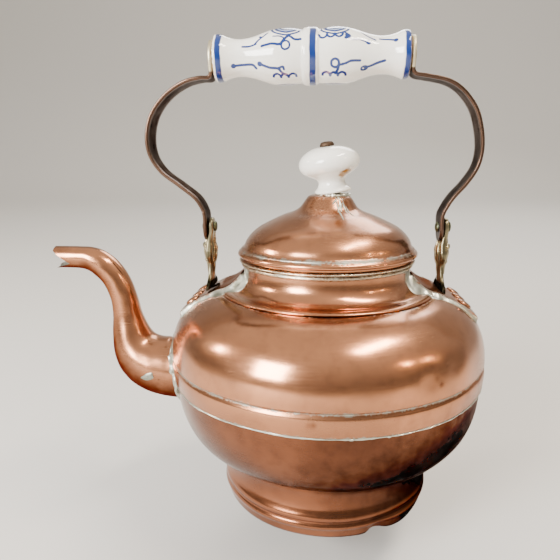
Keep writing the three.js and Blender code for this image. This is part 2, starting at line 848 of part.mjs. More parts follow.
// ---- lid -----------------------------------------------------------------------------------
const lidFoot = beadTop + clearance; // where the sleeve's flange rests
const rimLow = lidFoot + 1.6 + 0.1;
const rimTop = rimLow + lidRimHeight;
const lidTop = rimTop + lidRise;
const domeShares = [
  // radius share between the flat top and the rim, height share between rim and top
  [0.955, 0.01],
  [0.92, 0.05],
  [0.885, 0.16],
  [0.82, 0.275],
  [0.71, 0.398],
  [0.55, 0.512],
  [0.35, 0.63],
  [0.2, 0.7],
  [0.12, 0.77],
  [0.07, 0.86],
  [0.02, 0.96],
];
const lidDomeLoop = (() => {
  const span = lidRadius - lidTopRadius;
  const outside = domeShares.map(([a, b]) => [lidTopRadius + a * span, rimTop + b * lidRise]);
  const rim = [
    [lidRadius - 2.4, rimLow],
    [lidRadius - 0.6, rimLow + 0.2],
    [lidRadius, rimLow + 1.4],
    [lidRadius - 0.3, rimLow + 2.4],
    [lidRadius - 1.3, rimTop - 0.7],
  ];
  const hole = knobShift + boltRadius + 1.2;
  const top = [
    [lidTopRadius - 0.4, lidTop],
    [hole, lidTop],
    [hole, lidTop - sheet],
  ];
  const inside = [...outside].reverse().map(([r, z]) => [r - sheet, z - sheet * 0.7]);
  inside[0][1] = lidTop - sheet;
  const rimInside = [
    [lidRadius - 4.2, rimLow + 2.6],
    [lidRadius - 4.2, rimLow],
  ];
  return rim.concat(outside, top, inside, rimInside);
})();

const sleeveLoop = (() => {
  const out = neckRadius - sheet - sleeveGap;
  const inn = out - 1;
  const low = lidFoot - sleeveDepth;
  return [
    [inn, low],
    [out, low],
    [out, lidFoot],
    [lidRadius - 2.6, lidFoot],
    [lidRadius - 2.6, lidFoot + 1.6],
    [inn, lidFoot + 1.6],
  ];
})();

// The knob, its bolt and nut lean together over the middle of the lid's flat top.
const knobLift = 1.7; // thickness of the bedding under the knob at the middle
const knobLoop = (() => {
  const r = knobRadius;
  const h = knobHeight;
  return [
    [0, 0],
    [r * 0.553, 0],
    [r * 0.585, h * 0.04],
    [r * 0.511, h * 0.109],
    [r * 0.436, h * 0.196],
    [r * 0.436, h * 0.261],
    [r * 0.553, h * 0.326],
    [r * 0.777, h * 0.399],
    [r * 0.947, h * 0.514],
    [r, h * 0.645],
    [r * 0.936, h * 0.783],
    [r * 0.734, h * 0.906],
    [r * 0.468, h * 0.975],
    [r * 0.266, h],
    [0, h],
  ];
})();
const knobWithBore = (() => {
  const bore = knobLoop.filter(([r]) => r > 0);
  return bore.concat([
    [boltRadius + 0.4, knobHeight],
    [boltRadius + 0.4, 0],
  ]);
})();
const boltLoop = (() => {
  const top = knobHeight + clearance;
  const low = -knobLift - sheet - 6.5;
  return [
    [0, low],
    [boltRadius, low],
    [boltRadius, top],
    [4.4, top],
    [4.4, top + 1.4],
    [3.4, top + 2.5],
    [0, top + 2.9],
  ];
})();

// Grey bedding under the knob, cut off square to the leaning knob.
const beddingSolid = (() => {
  const plug = turned(
    [
      [boltRadius + 0.9, lidTop + 0.15],
      [9.2, lidTop + 0.15],
      [8.8, lidTop + 6],
      [boltRadius + 0.9, lidTop + 6],
    ],
    28,
  );
  moved(plug, knobShift, 0, 0);
  const off = new THREE.BoxGeometry(60, 60, 20);
  moved(off, 0, 0, 10 - clearance);
  off.rotateY(THREE.MathUtils.degToRad(-knobLean));
  moved(off, knobShift, 0, lidTop + knobLift);
  return solidOf(plug).subtract(solidOf(off));
})();

// ---- assembly --------------------------------------------------------------------------------
const kettle = new THREE.Group();
function add(parent, name, geometry, material) {
  const mesh = new THREE.Mesh(geometry, material);
  mesh.name = name;
  parent.add(mesh);
  return mesh;
}

add(kettle, "foot_ring", turned(footLoop), copper);
const bowlSolid = solidOf(turned(bowlLoop)).subtract(spoutHole);
add(kettle, "lower_bowl", geometryOf(bowlSolid), darkCopper);
const shellSolid = solidOf(turned(shellSolidLoop())).subtract(spoutHole);
add(kettle, "upper_shell", geometryOf(shellSolid), copper);
const solderSeam = solidOf(turned(seamSolderLoop)).subtract(
  solidOf(
    alongX(
      turned(
        [
          [0, -bodyRadius + 10],
          [spoutRootRadius + 4.5, -bodyRadius + 10],
          [spoutRootRadius + 4.5, -bodyRadius - 10],
          [0, -bodyRadius - 10],
        ],
        32,
      ),
      0,
      spoutHeight,
    ),
  ),
);
add(kettle, "seam_solder", geometryOf(solderSeam), solder);
add(kettle, "neck_collar", turned(collarLoop), copper);
add(kettle, "neck_bead", turned(beadLoop), solder);
add(kettle, "spout", geometryOf(spoutSolid), copper);
add(kettle, "spout_solder", geometryOf(spoutSolderSolid), solder);

const sides = [
  ["spout_side", -1],
  ["far_side", 1],
];
sides.forEach(([label, side]) => {
  add(kettle, "lug_plate_" + label, geometryOf(plateSolid(side)), brass);
  add(kettle, "lug_" + label, geometryOf(lugSolid(side)), brass);
  [-1, 1].forEach((edge, i) => {
    const name = "plate_solder_" + label + "_" + (i + 1);
    add(kettle, name, geometryOf(plateSolderSolid(side, edge)), solder);
  });
  [-1, 0, 1].forEach((step, i) => {
    const name = "plate_rivet_" + label + "_" + (i + 1);
    add(kettle, name, rivet(side, rivetAcross, step * rivetPitch), brass);
  });
});

const bail = new THREE.Group();
kettle.add(bail);
sides.forEach(([label, side]) => {
  add(bail, "bail_strap_" + label, geometryOf(strapSolid(side)), darkCopper);
  add(bail, "pivot_rivet_" + label, pivotRivet(side), brass);
});
add(bail, "grip", alongX(turned(gripLoop(), 32), gripCentre, gripHeight), porcelain);
add(bail, "grip_rod", alongX(turned(rodLoop, 16), gripCentre, gripHeight), iron);

const lid = new THREE.Group();
lid.position.x = lidShift;
kettle.add(lid);
add(lid, "lid_dome", turned(lidDomeLoop), copper);
add(lid, "lid_sleeve", turned(sleeveLoop), copper);
add(lid, "knob_bedding", geometryOf(beddingSolid), solder);
const knobGroup = new THREE.Group();
knobGroup.position.set(knobShift, 0, lidTop + knobLift);
knobGroup.rotation.y = THREE.MathUtils.degToRad(-knobLean);
lid.add(knobGroup);
add(knobGroup, "knob", turned(knobWithBore, 32), porcelain);
add(knobGroup, "knob_bolt", turned(boltLoop, 16), iron);
const nutLow = -knobLift - sheet - 5.6;
const washerTop = nutLow + 3.4;
add(
  knobGroup,
  "knob_washer",
  turned(
    [
      [boltRadius + 0.4, washerTop - 1],
      [6, washerTop - 1],
      [6, washerTop],
      [boltRadius + 0.4, washerTop],
    ],
    20,
  ),
  iron,
);
add(
  knobGroup,
  "knob_nut",
  turned(
    [
      [boltRadius + 0.5, nutLow],
      [4.6, nutLow],
      [4.6, washerTop - 1.2],
      [boltRadius + 0.5, washerTop - 1.2],
    ],
    6,
  ),
  iron,
);

// The origin is the middle of the kettle's box, on the floor.
kettle.updateMatrixWorld(true);
const box = new THREE.Box3().setFromObject(kettle, true);
kettle.position.set(-(box.min.x + box.max.x) / 2, -(box.min.y + box.max.y) / 2, -box.min.z);

export default kettle;
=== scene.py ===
"""A footed copper water kettle with a swan-neck spout, a lid with a porcelain knob, and a hinged
strap bail with a painted porcelain grip. Sizes in this file are millimetres about the body's own
axis, and `frame_points` turns them into the frame's metres."""
import math

import bmesh
import bpy
import numpy as np
from mathutils import Matrix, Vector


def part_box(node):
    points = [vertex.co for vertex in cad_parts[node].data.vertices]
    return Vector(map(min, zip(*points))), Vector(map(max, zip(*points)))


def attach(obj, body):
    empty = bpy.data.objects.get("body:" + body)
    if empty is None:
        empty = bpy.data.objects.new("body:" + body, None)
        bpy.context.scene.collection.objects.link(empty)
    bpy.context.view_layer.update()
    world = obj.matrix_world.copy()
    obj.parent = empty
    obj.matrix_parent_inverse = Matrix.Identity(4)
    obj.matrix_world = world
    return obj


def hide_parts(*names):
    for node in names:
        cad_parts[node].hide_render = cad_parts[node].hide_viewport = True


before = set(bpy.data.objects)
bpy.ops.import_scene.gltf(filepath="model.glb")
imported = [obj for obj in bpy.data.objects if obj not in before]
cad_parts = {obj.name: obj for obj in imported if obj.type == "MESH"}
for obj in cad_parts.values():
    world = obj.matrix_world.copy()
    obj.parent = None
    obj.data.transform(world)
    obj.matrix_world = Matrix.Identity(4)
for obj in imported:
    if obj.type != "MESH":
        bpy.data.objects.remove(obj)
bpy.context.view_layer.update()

MM = 0.001
TAU = 2 * math.pi
foot_low, foot_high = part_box("foot_ring")
AXIS_X = (foot_low[0] + foot_high[0]) / 2  # the body's axis in the frame

# ---- sizes, millimetres --------------------------------------------------------------------
SHEET = 1.2
BODY_MIDDLE = (0, 0, 80)  # unevenness runs straight out from here
BODY_SIDES = 240
BODY_R = 97.8
SEAM_Z = 81.0
SHOULDER_Z = 94.0
SHOULDER_TOP = 135.0
SHOULDER_IN = 50.0
SHOULDER_POWER = 2.28
BOWL_R = 96.0
BOWL_IN = 54.0
BOWL_LOW = 31.8
BOWL_POWER = 2.24
BOWL_FLOOR = 23.0
FOOT_R = 64.9
NECK_R = 52.0
FLANGE_R = 66.3
NECK_TOP = 149.3
BEAD_TOP = 153.6
LID_R = 55.6
LID_SHIFT = 0.4
RIM_LOW = 155.5
RIM_TOP = 159.5
LID_TOP = 191.9
LID_TOP_R = 12.8
KNOB_R = 18.8
KNOB_H = 27.6
KNOB_LEAN = math.radians(8)
LID_LEAN = 1.2  # how far the lid's top sits to the right of its rim
KNOB_AT = (3.6, 0.0, 193.6)  # foot of the knob, on the body's axes
SPOUT_Z = 77.0
SPOUT_R = 20.0
LUG_X = 72.3
PIVOT_Z = 172.5
GRIP_X = -10.3
GRIP_Z = 272.0
GRIP_LEN = 113.0
GRIP_R = 15.9
GRIP_PLATE_R = 10.6
STRAP_THICK = 2.2
STRAP_WIDE = 17.0
STRAP_GAP = 0.3  # between a strap and the eye it hangs on
EYE_HALF = 1.8  # room kept for half the thickness of a lug's eye
LUG_LEAN = 1.3  # how far both lugs stand to the left below their eyes


# ---- small tools ---------------------------------------------------------------------------
def frame_points(points):
    """Millimetres about the body's axis to the frame's metres."""
    return np.asarray(points, float) * MM + np.array([AXIS_X, 0.0, 0.0])


def colour(code):
    """An sRGB hex colour as linear RGBA."""
    parts = [int(code[i : i + 2], 16) / 255 for i in (1, 3, 5)]
    line = [c / 12.92 if c <= 0.04045 else ((c + 0.055) / 1.055) ** 2.4 for c in parts]
    return (*line, 1.0)


def per(size):
    """Texture scale that gives a feature of this many millimetres on Object coordinates."""
    return 1000.0 / size


def flowing(points, steps=8):
    """A smooth curve through the points."""
    p = np.asarray(points, float)
    p = np.vstack([2 * p[0] - p[1], p, 2 * p[-1] - p[-2]])
    made = []
    for a, b, c, d in zip(p[:-3], p[1:-2], p[2:-1], p[3:]):
        t0 = 0.0
        t1 = t0 + max(np.linalg.norm(b - a), 1e-6) ** 0.5
        t2 = t1 + max(np.linalg.norm(c - b), 1e-6) ** 0.5
        t3 = t2 + max(np.linalg.norm(d - c), 1e-6) ** 0.5
        for t in np.linspace(t1, t2, steps, endpoint=False):
            ab = (t1 - t) / (t1 - t0) * a + (t - t0) / (t1 - t0) * b
            bc = (t2 - t) / (t2 - t1) * b + (t - t1) / (t2 - t1) * c
            cd = (t3 - t) / (t3 - t2) * c + (t - t2) / (t3 - t2) * d
            ac = (t2 - t) / (t2 - t0) * ab + (t - t0) / (t2 - t0) * bc
            bd = (t3 - t) / (t3 - t1) * bc + (t - t1) / (t3 - t1) * cd
            made.append((t2 - t) / (t2 - t1) * ac + (t - t1) / (t2 - t1) * bd)
    made.append(p[-2])
    return np.array(made)


def waver(points, size, depth, seed):
    """Soft unevenness of hand-worked metal: a few long waves in fixed random directions."""
    draw = np.random.default_rng(seed)
    total = np.zeros(len(points))
    for _ in range(9):
        way = draw.normal(size=3)
        way /= np.linalg.norm(way)
        pitch = size * draw.uniform(0.6, 1.7)
        total += np.sin(points @ way * TAU / pitch + draw.uniform(0, TAU))
    return depth * total / 3


def give_wear(mesh, wear):
    """Writes the three masks of tin, tarnish with painted shade, and polish with painted highlight on a
    mesh's points.
    """
    for old in [a for a in mesh.attributes if a.name.startswith("wear")]:
        mesh.attributes.remove(old)
    layer = mesh.color_attributes.new("wear", "FLOAT_COLOR", "POINT")
    rgba = np.ones((len(mesh.vertices), 4))
    rgba[:, :3] = np.clip(wear, 0, 1)
    layer.data.foreach_set("color", rgba.astype(np.float32).ravel())


def piece(name, verts, faces, material, body, stands_for=(), wear=None, sharp=38):
    """One finished mesh piece in the frame, riding on its body."""
    mesh = bpy.data.meshes.new(name)
    mesh.from_pydata(frame_points(verts).tolist(), [], [list(map(int, f)) for f in faces])
    if wear is not None:
        give_wear(mesh, wear)
    shape = bmesh.new()
    shape.from_mesh(mesh)
    bmesh.ops.remove_doubles(shape, verts=shape.verts, dist=2e-6)
    bmesh.ops.recalc_face_normals(shape, faces=shape.faces)
    shape.to_mesh(mesh)
    shape.free()
    return settle(bpy.data.objects.new(name, mesh), material, body, stands_for, sharp)


def settle(obj, material, body, stands_for=(), sharp=38):
    """Links a piece, gives it its finish and puts it on its body."""
    if obj.name not in bpy.context.scene.collection.objects:
        bpy.context.scene.collection.objects.link(obj)
    obj.data.materials.clear()
    obj.data.materials.append(material)
    obj.data.shade_smooth()
    obj.data.set_sharp_from_angle(angle=math.radians(sharp))
    if stands_for:
        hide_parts(*stands_for)
    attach(obj, body)
    return obj


def ring_faces(rings, sides, close_rings):
    """Quads between rings of points; the last ring joins the first one for a closed profile."""
    faces = []
    last = rings if close_rings else rings - 1
    for i in range(last):
        a = i * sides
        b = ((i + 1) % rings) * sides
        for k in range(sides):
            n = (k + 1) % sides
            faces.append((a + k, a + n, b + n, b + k))
    return faces


def turned(loop, sides=180):
    """Points and faces of a ring of revolution about Z from a closed loop of (radius, height)."""
    loop = np.asarray(loop, float)
    angle = np.linspace(0, TAU, sides, endpoint=False)
    x = loop[:, :1] * np.cos(angle)
    y = loop[:, :1] * np.sin(angle)
    z = np.repeat(loop[:, 1:], sides, axis=1)
    verts = np.stack([x, y, z], axis=-1).reshape(-1, 3)
    return verts, ring_faces(len(loop), sides, True)


def from_centre(points, centre, depth):
    """Moves each point away from a centre by its own depth, so that both skins move together."""
    away = points - np.asarray(centre, float)
    away /= np.maximum(np.linalg.norm(away, axis=1, keepdims=True), 1e-6)
    return points + away * depth[:, None]


def rounded_end(a, b, out=0.35):
    """A rounded sheet edge between two profile points."""
    a, b = np.asarray(a, float), np.asarray(b, float)
    along = (b - a) / max(np.linalg.norm(b - a), 1e-6)
    across = np.array([along[1], -along[0]])
    middle = (a + b) / 2
    return [
        a + along * 0.12 + across * out * 0.7, middle + across * out, b - along * 0.12 + across * out * 0.7
    ]


def bump_at(points, at, radius, depth):
    """Depth of one soft dent or lump round a place."""
    far = np.linalg.norm(points - np.asarray(at, float), axis=1)
    return depth * np.exp(-((far / radius) ** 2))


def band(value, middle, half):
    """1 at the middle of a band and 0 beyond it, with soft sides."""
    return np.exp(-(((value - middle) / half) ** 2))


# ---- materials -----------------------------------------------------------------------------
def fading(value, at, width):
    """1 well before a place and 0 well after it."""
    return 1 / (1 + np.exp(np.clip((np.asarray(value, float) - at) / width, -30, 30)))


def add(tree, kind, inputs=None, **settings):
    """Adds a node, sets it up, and links or fills its sockets."""
    node = tree.nodes.new(kind)
    for key, value in settings.items():
        setattr(node, key, value)
    for key, value in (inputs or {}).items():
        if isinstance(value, bpy.types.NodeSocket):
            tree.links.new(value, node.inputs[key])
        else:
            node.inputs[key].default_value = value
    return node


def new_material(name, **shader):
    """An empty material with its principled shader, and its Object coordinates on the axis."""
    material = bpy.data.materials.new(name)
    material.use_nodes = True
    tree = material.node_tree
    tree.nodes.clear()
    out = add(tree, "ShaderNodeOutputMaterial")
    bsdf = add(tree, "ShaderNodeBsdfPrincipled", shader)
    tree.links.new(bsdf.outputs[0], out.inputs[0])
    place = add(tree, "ShaderNodeTexCoord").outputs["Object"]
    centred = add(tree, "ShaderNodeMapping", {"Vector": place, "Location": (-AXIS_X, 0, 0)})
    return material, tree, bsdf, centred.outputs[0]


def worked_metal(
    name, bright, dull, dark, shine=(0.15, 0.27), tin="#a9a79b", grain=1.0, patch=0.5, blotch=0.22, wax=0.3
):
    """Old hand-worked metal. It is polished and then left, so its colour drifts in wide soft
    patches under a thin film of wax. Spinning and wiping leave fine lines round the axis, and
    pits and specks are a millimetre or less. The wear attribute gives where tin
    solder has smeared (red), where tarnish stays in corners and painted shade lies (green), and
    where hands keep it bright and a highlight is painted (blue)."""
    material, tree, bsdf, at = new_material(
        name, **{"Metallic": 1.0, "Coat Roughness": 0.07, "Coat IOR": 1.5}
    )
    wear = add(tree, "ShaderNodeAttribute", attribute_name="wear", attribute_type="GEOMETRY")
    mask = add(tree, "ShaderNodeSeparateColor", {0: wear.outputs["Color"]})
    wide = add(tree, "ShaderNodeTexNoise", {"Vector": at, "Scale": per(52), "Detail": 3.0, "Roughness": 0.5})
    mottle = add(
        tree, "ShaderNodeTexNoise", {"Vector": at, "Scale": per(7), "Detail": 6.0, "Roughness": 0.55}
    )
    fine = add(tree, "ShaderNodeTexNoise", {"Vector": at, "Scale": per(1.3), "Detail": 4.0, "Roughness": 0.6})
    # Lines left by spinning: the angle round the axis is stretched out against the height.
    turn = add(tree, "ShaderNodeTexGradient", {"Vector": at}, gradient_type="RADIAL")
    split = add(tree, "ShaderNodeSeparateXYZ", {0: at})
    round_about = add(tree, "ShaderNodeMath", {0: turn.outputs[1], 1: 0.05}, operation="MULTIPLY")
    spun_at = add(tree, "ShaderNodeCombineXYZ", {0: round_about.outputs[0], 1: split.outputs[2]})
    spun = add(
        tree, "ShaderNodeTexNoise",
        {"Vector": spun_at.outputs[0], "Scale": per(0.9), "Detail": 5.0, "Roughness": 0.7},
    )
    patches = add(
        tree, "ShaderNodeMapRange",
        {0: wide.outputs[0], 1: patch - 0.16, 2: patch + 0.16}, interpolation_type="SMOOTHSTEP",
    )
    mixed = add(
        tree, "ShaderNodeMix", {0: patches.outputs[0], 6: colour(bright), 7: colour(dull)}, data_type="RGBA"
    )
    clouds = add(
        tree, "ShaderNodeMapRange",
        {0: mottle.outputs[0], 1: 0.42, 2: 0.8, 3: 0.0, 4: blotch}, interpolation_type="SMOOTHSTEP",
    )
    clouded = add(
        tree, "ShaderNodeMix",
        {0: clouds.outputs[0], 6: mixed.outputs[2], 7: colour(dark)}, data_type="RGBA",
    )
    # Tarnish and painted shade show where the green mask and the mottling meet.
    shadow = add(tree, "ShaderNodeMath", {0: mottle.outputs[0], 1: mask.outputs[1]}, operation="MULTIPLY")
    deeper = add(tree, "ShaderNodeMath", {0: shadow.outputs[0], 1: mask.outputs[1]}, operation="ADD")
    tarnish_and_shade = add(
        tree, "ShaderNodeMapRange", {0: deeper.outputs[0], 1: 0.1, 2: 1.35}, interpolation_type="SMOOTHSTEP"
    )
    darker = add(
        tree, "ShaderNodeMix",
        {0: tarnish_and_shade.outputs[0], 6: clouded.outputs[2], 7: colour(dark)}, data_type="RGBA",
    )
    # The blue mask brings back the bright colour, for polish and for painted highlight.
    kept_bright_and_highlit = add(
        tree, "ShaderNodeMix",
        {0: mask.outputs[2], 6: darker.outputs[2], 7: colour(bright)}, data_type="RGBA",
    )
    # Tin smears break up into specks at their edges.
    speck = add(tree, "ShaderNodeMath", {0: mottle.outputs[0], 1: fine.outputs[0]}, operation="ADD")
    reach = add(tree, "ShaderNodeMath", {0: mask.outputs[0], 1: 1.35, 2: -0.35}, operation="MULTIPLY_ADD")
    over = add(tree, "ShaderNodeMath", {0: reach.outputs[0], 1: speck.outputs[0]}, operation="ADD")
    tinned = add(
        tree, "ShaderNodeMapRange", {0: over.outputs[0], 1: 1.0, 2: 1.45}, interpolation_type="SMOOTHSTEP"
    )
    final = add(
        tree, "ShaderNodeMix",
        {0: tinned.outputs[0], 6: kept_bright_and_highlit.outputs[2], 7: colour(tin)}, data_type="RGBA",
    )
    # Scattered dark pits.
    cells = add(tree, "ShaderNodeTexVoronoi", {"Vector": at, "Scale": per(9), "Randomness": 1.0})
    pit = add(tree, "ShaderNodeMapRange", {0: cells.outputs["Distance"], 1: 0.03, 2: 0.06, 3: 0.8, 4: 0.0})
    chosen = add(tree, "ShaderNodeMath", {0: cells.outputs["Color"], 1: 0.6}, operation="GREATER_THAN")
    shown = add(tree, "ShaderNodeMath", {0: pit.outputs[0], 1: chosen.outputs[0]}, operation="MULTIPLY")
    pitted = add(
        tree, "ShaderNodeMix",
        {0: shown.outputs[0], 6: final.outputs[2], 7: colour("#1d130e")}, data_type="RGBA",
    )
    tree.links.new(pitted.outputs[2], bsdf.inputs["Base Color"])
    # Oxide, soot and painted shade lie over the wax, and dull the bright edge that bare metal has.
    film = add(tree, "ShaderNodeMapRange", {0: tarnish_and_shade.outputs[0], 3: wax, 4: 0.0})
    tree.links.new(film.outputs[0], bsdf.inputs["Coat Weight"])
    edge = add(
        tree, "ShaderNodeMix",
        {0: tarnish_and_shade.outputs[0], 6: colour("#ffffff"), 7: colour(dull)}, data_type="RGBA",
    )
    tree.links.new(edge.outputs[2], bsdf.inputs["Specular Tint"])
    rough = add(tree, "ShaderNodeMapRange", {0: wide.outputs[0], 1: 0.35, 2: 0.65, 3: shine[0], 4: shine[1]})
    lines = add(tree, "ShaderNodeMapRange", {0: spun.outputs[0], 1: 0.35, 2: 0.7, 3: -0.02, 4: 0.05})
    sum1 = add(tree, "ShaderNodeMath", {0: rough.outputs[0], 1: lines.outputs[0]}, operation="ADD")
    sum2 = add(
        tree, "ShaderNodeMath", {0: tinned.outputs[0], 1: 0.14, 2: sum1.outputs[0]},
        operation="MULTIPLY_ADD"
    )
    sum3 = add(
        tree, "ShaderNodeMath", {0: tarnish_and_shade.outputs[0], 1: 0.12, 2: sum2.outputs[0]},
        operation="MULTIPLY_ADD"
    )
    tree.links.new(sum3.outputs[0], bsdf.inputs["Roughness"])
    spun_bump = add(
        tree, "ShaderNodeBump", {"Strength": 0.18 * grain, "Distance": 0.00003, "Height": spun.outputs[0]}
    )
    hammer = add(
        tree, "ShaderNodeBump",
        {
            "Strength": 0.2 * grain, "Distance": 0.00012, "Height": mottle.outputs[0],
            "Normal": spun_bump.outputs[0]
        },
    )
    holes = add(
        tree, "ShaderNodeBump",
        {"Strength": 0.5, "Distance": 0.0002, "Height": shown.outputs[0], "Normal": hammer.outputs[0]},
        invert=True,
    )
    crust = add(
        tree, "ShaderNodeBump",
        {"Strength": 0.35, "Distance": 0.0002, "Height": tinned.outputs[0], "Normal": holes.outputs[0]},
    )
    tree.links.new(crust.outputs[0], bsdf.inputs["Normal"])
    return material


# Sheet copper, spun and hand-planished: a warm brown-pink metal with soft bright reflections.
COPPER = worked_metal("aged_sheet_copper", "#cc8b63", "#aa7453", "#613827")
# The same sheet low down as a darker red-brown copy: painted shade for the lower bowl and foot.
SHADED_LOWER_COPPER = worked_metal("lower_copper_with_painted_shade", "#925b3e", "#6e4129", "#2c1710", shine=(0.17, 0.28))
# Strap copper that was never polished: brown-black oxide, rubbed through on the edges.
STRAP_COPPER = worked_metal(
    "oxidised_strap_copper", "#785c4b", "#30221b", "#17100c", shine=(0.24, 0.4), tin="#cfc5a6", patch=0.4,
    blotch=0.5, wax=0.15,
)
# Cast yellow brass gone olive and brown, pale where it is rubbed.
BRASS = worked_metal(
    "cast_lug_brass", "#b5a987", "#5a5139", "#1f1c14", shine=(0.2, 0.34), tin="#6f745c", patch=0.44,
    blotch=0.6,
    wax=0.15,
)
# Tin and lead solder, run on by hand: white-grey, lumpy and half dull.
SOLDER = worked_metal("tin_solder", "#e4e3d6", "#bdbfb0", "#77776a", shine=(0.2, 0.4), grain=3.0, wax=0.0)
# The neck's bead: brass-bright wire under worn tin.
BEAD = worked_metal(
    "tinned_bead_wire", "#e6d3b3", "#b9987a", "#5f4231", shine=(0.16, 0.3), tin="#c9c6b4", wax=0.1
)
IRON = worked_metal("rusted_iron", "#6b5848", "#4c3a2e", "#2a1d16", shine=(0.45, 0.7), grain=2.0, wax=0.0)


def glazed_porcelain(name, paint):
    """Hard white porcelain under a clear glaze: smooth and bright, a little warm, with fine dirt
    in the low places and, on the grip, blue painting that softens into the glaze."""
    material, tree, bsdf, at = new_material(
        name, **{"Roughness": 0.09, "IOR": 1.52, "Coat Weight": 0.4, "Coat Roughness": 0.04}
    )
    wear = add(tree, "ShaderNodeAttribute", attribute_name="wear", attribute_type="GEOMETRY")
    mask = add(tree, "ShaderNodeSeparateColor", {0: wear.outputs["Color"]})
    cloud = add(tree, "ShaderNodeTexNoise", {"Vector": at, "Scale": per(22), "Detail": 3.0})
    white = add(
        tree, "ShaderNodeMix",
        {0: cloud.outputs[0], 6: colour("#fbfaf4"), 7: colour("#f1ecdf")}, data_type="RGBA",
    )
    dirt = add(tree, "ShaderNodeTexNoise", {"Vector": at, "Scale": per(2.6), "Detail": 5.0, "Roughness": 0.7})
    soil = add(tree, "ShaderNodeMath", {0: mask.outputs[1], 1: dirt.outputs[0]}, operation="ADD")
    stain = add(
        tree, "ShaderNodeMapRange", {0: soil.outputs[0], 1: 0.85, 2: 1.3}, interpolation_type="SMOOTHSTEP"
    )
    rust = add(
        tree, "ShaderNodeMix",
        {0: stain.outputs[0], 6: white.outputs[2], 7: colour("#a8772c")}, data_type="RGBA",
    )
    if paint:
        wash = add(tree, "ShaderNodeMapRange", {0: mask.outputs[2], 1: 0.15, 2: 0.6, 3: 0.0, 4: 0.75})
        light = add(
            tree, "ShaderNodeMix",
            {0: wash.outputs[0], 6: rust.outputs[2], 7: colour("#5f86bd")}, data_type="RGBA",
        )
        line = add(
            tree, "ShaderNodeMapRange", {0: mask.outputs[0], 1: 0.15, 2: 0.55},
            interpolation_type="SMOOTHSTEP"
        )
        deep = add(
            tree, "ShaderNodeMix",
            {0: line.outputs[0], 6: light.outputs[2], 7: colour("#142f6e")}, data_type="RGBA",
        )
        tree.links.new(deep.outputs[2], bsdf.inputs["Base Color"])
    else:
        tree.links.new(rust.outputs[2], bsdf.inputs["Base Color"])
    ripple = add(tree, "ShaderNodeTexNoise", {"Vector": at, "Scale": per(7), "Detail": 2.0})
    skin = add(tree, "ShaderNodeBump", {"Strength": 0.15, "Distance": 0.0003, "Height": ripple.outputs[0]})
    tree.links.new(skin.outputs[0], bsdf.inputs["Normal"])
    return material


PORCELAIN = glazed_porcelain("glazed_porcelain", False)
PAINTED = glazed_porcelain("blue_painted_porcelain", True)


# ---- body ----------------------------------------------------------------------------------
def superellipse(r0, z0, r1, z1, power, steps):
    """A quarter of a rounded-square curve from upright at (r0, z0) to flat at (r1, z1)."""
    a = np.linspace(0, math.pi / 2, steps + 1)
    r = r1 + (r0 - r1) * np.cos(a).clip(0) ** (2 / power)
    z = z0 + (z1 - z0) * np.sin(a).clip(0) ** (2 / power)
    return np.stack([r, z], axis=1)


def shoulder_z(r):
    """Height of the shoulder's outside at a radius."""
    share = np.clip((r - SHOULDER_IN) / (BODY_R - SHOULDER_IN), 0, 1)
    rise = (1 - share**SHOULDER_POWER) ** (1 / SHOULDER_POWER)
    return SHOULDER_Z + (SHOULDER_TOP - SHOULDER_Z) * rise


def bowl_z(r):
    """Height of the bowl's outside at a radius."""
    share = np.clip((r - BOWL_IN) / (BOWL_R - BOWL_IN), 0, 1)
    fall = (1 - share**BOWL_POWER) ** (1 / BOWL_POWER)
    return SEAM_Z - (SEAM_Z - BOWL_LOW) * fall


def body_radius(z):
    """Radius of the body's outside at a height."""
    z = np.asarray(z, float)
    low = np.clip((SEAM_Z - z) / (SEAM_Z - BOWL_LOW), 0, 1)
    bowl = BOWL_IN + (BOWL_R - BOWL_IN) * (1 - low**BOWL_POWER) ** (1 / BOWL_POWER)
    high = np.clip((z - SHOULDER_Z) / (SHOULDER_TOP - SHOULDER_Z), 0, 1)
    shell = SHOULDER_IN + (BODY_R - SHOULDER_IN) * (1 - high**SHOULDER_POWER) ** (1 / SHOULDER_POWER)
    return np.where(z < SEAM_Z, bowl, shell)


def crease(out):
    """The band between the seam and the shoulder, swollen a little, with a groove above it."""
    r = BODY_R + out
    return flowing(
        [
            (r - 0.55, SEAM_Z - out * 0.2),
            (r - 0.2, SEAM_Z + 2.4),
            (r + 0.25, SEAM_Z + 6.2),
            (r + 0.2, SEAM_Z + 9.6),
            (r - 0.5, SEAM_Z + 11.4),
            (r - 0.75, SEAM_Z + 12.2),
            (r - 0.25, SEAM_Z + 13.2),
        ],
        5,
    )


def worn_body(points):
    """Unevenness of the whole body, as a depth along the way out from its middle."""
    depth = waver(points, 62, 0.28, 3) + waver(points, 23, 0.06, 4)
    for x, y, z, r, d in (
        (52, -80, 104, 7, -0.9),
        (40, -88, 98, 4.5, -0.5),
        (66, -66, 108, 6, -0.6),
        (-20, -90, 60, 12, -0.5),
        (60, 62, 112, 15, -1.0),
        (-40, 84, 70, 14, -0.8),
    ):
        depth = depth + bump_at(points, (x, y, z), r, d)
    return depth


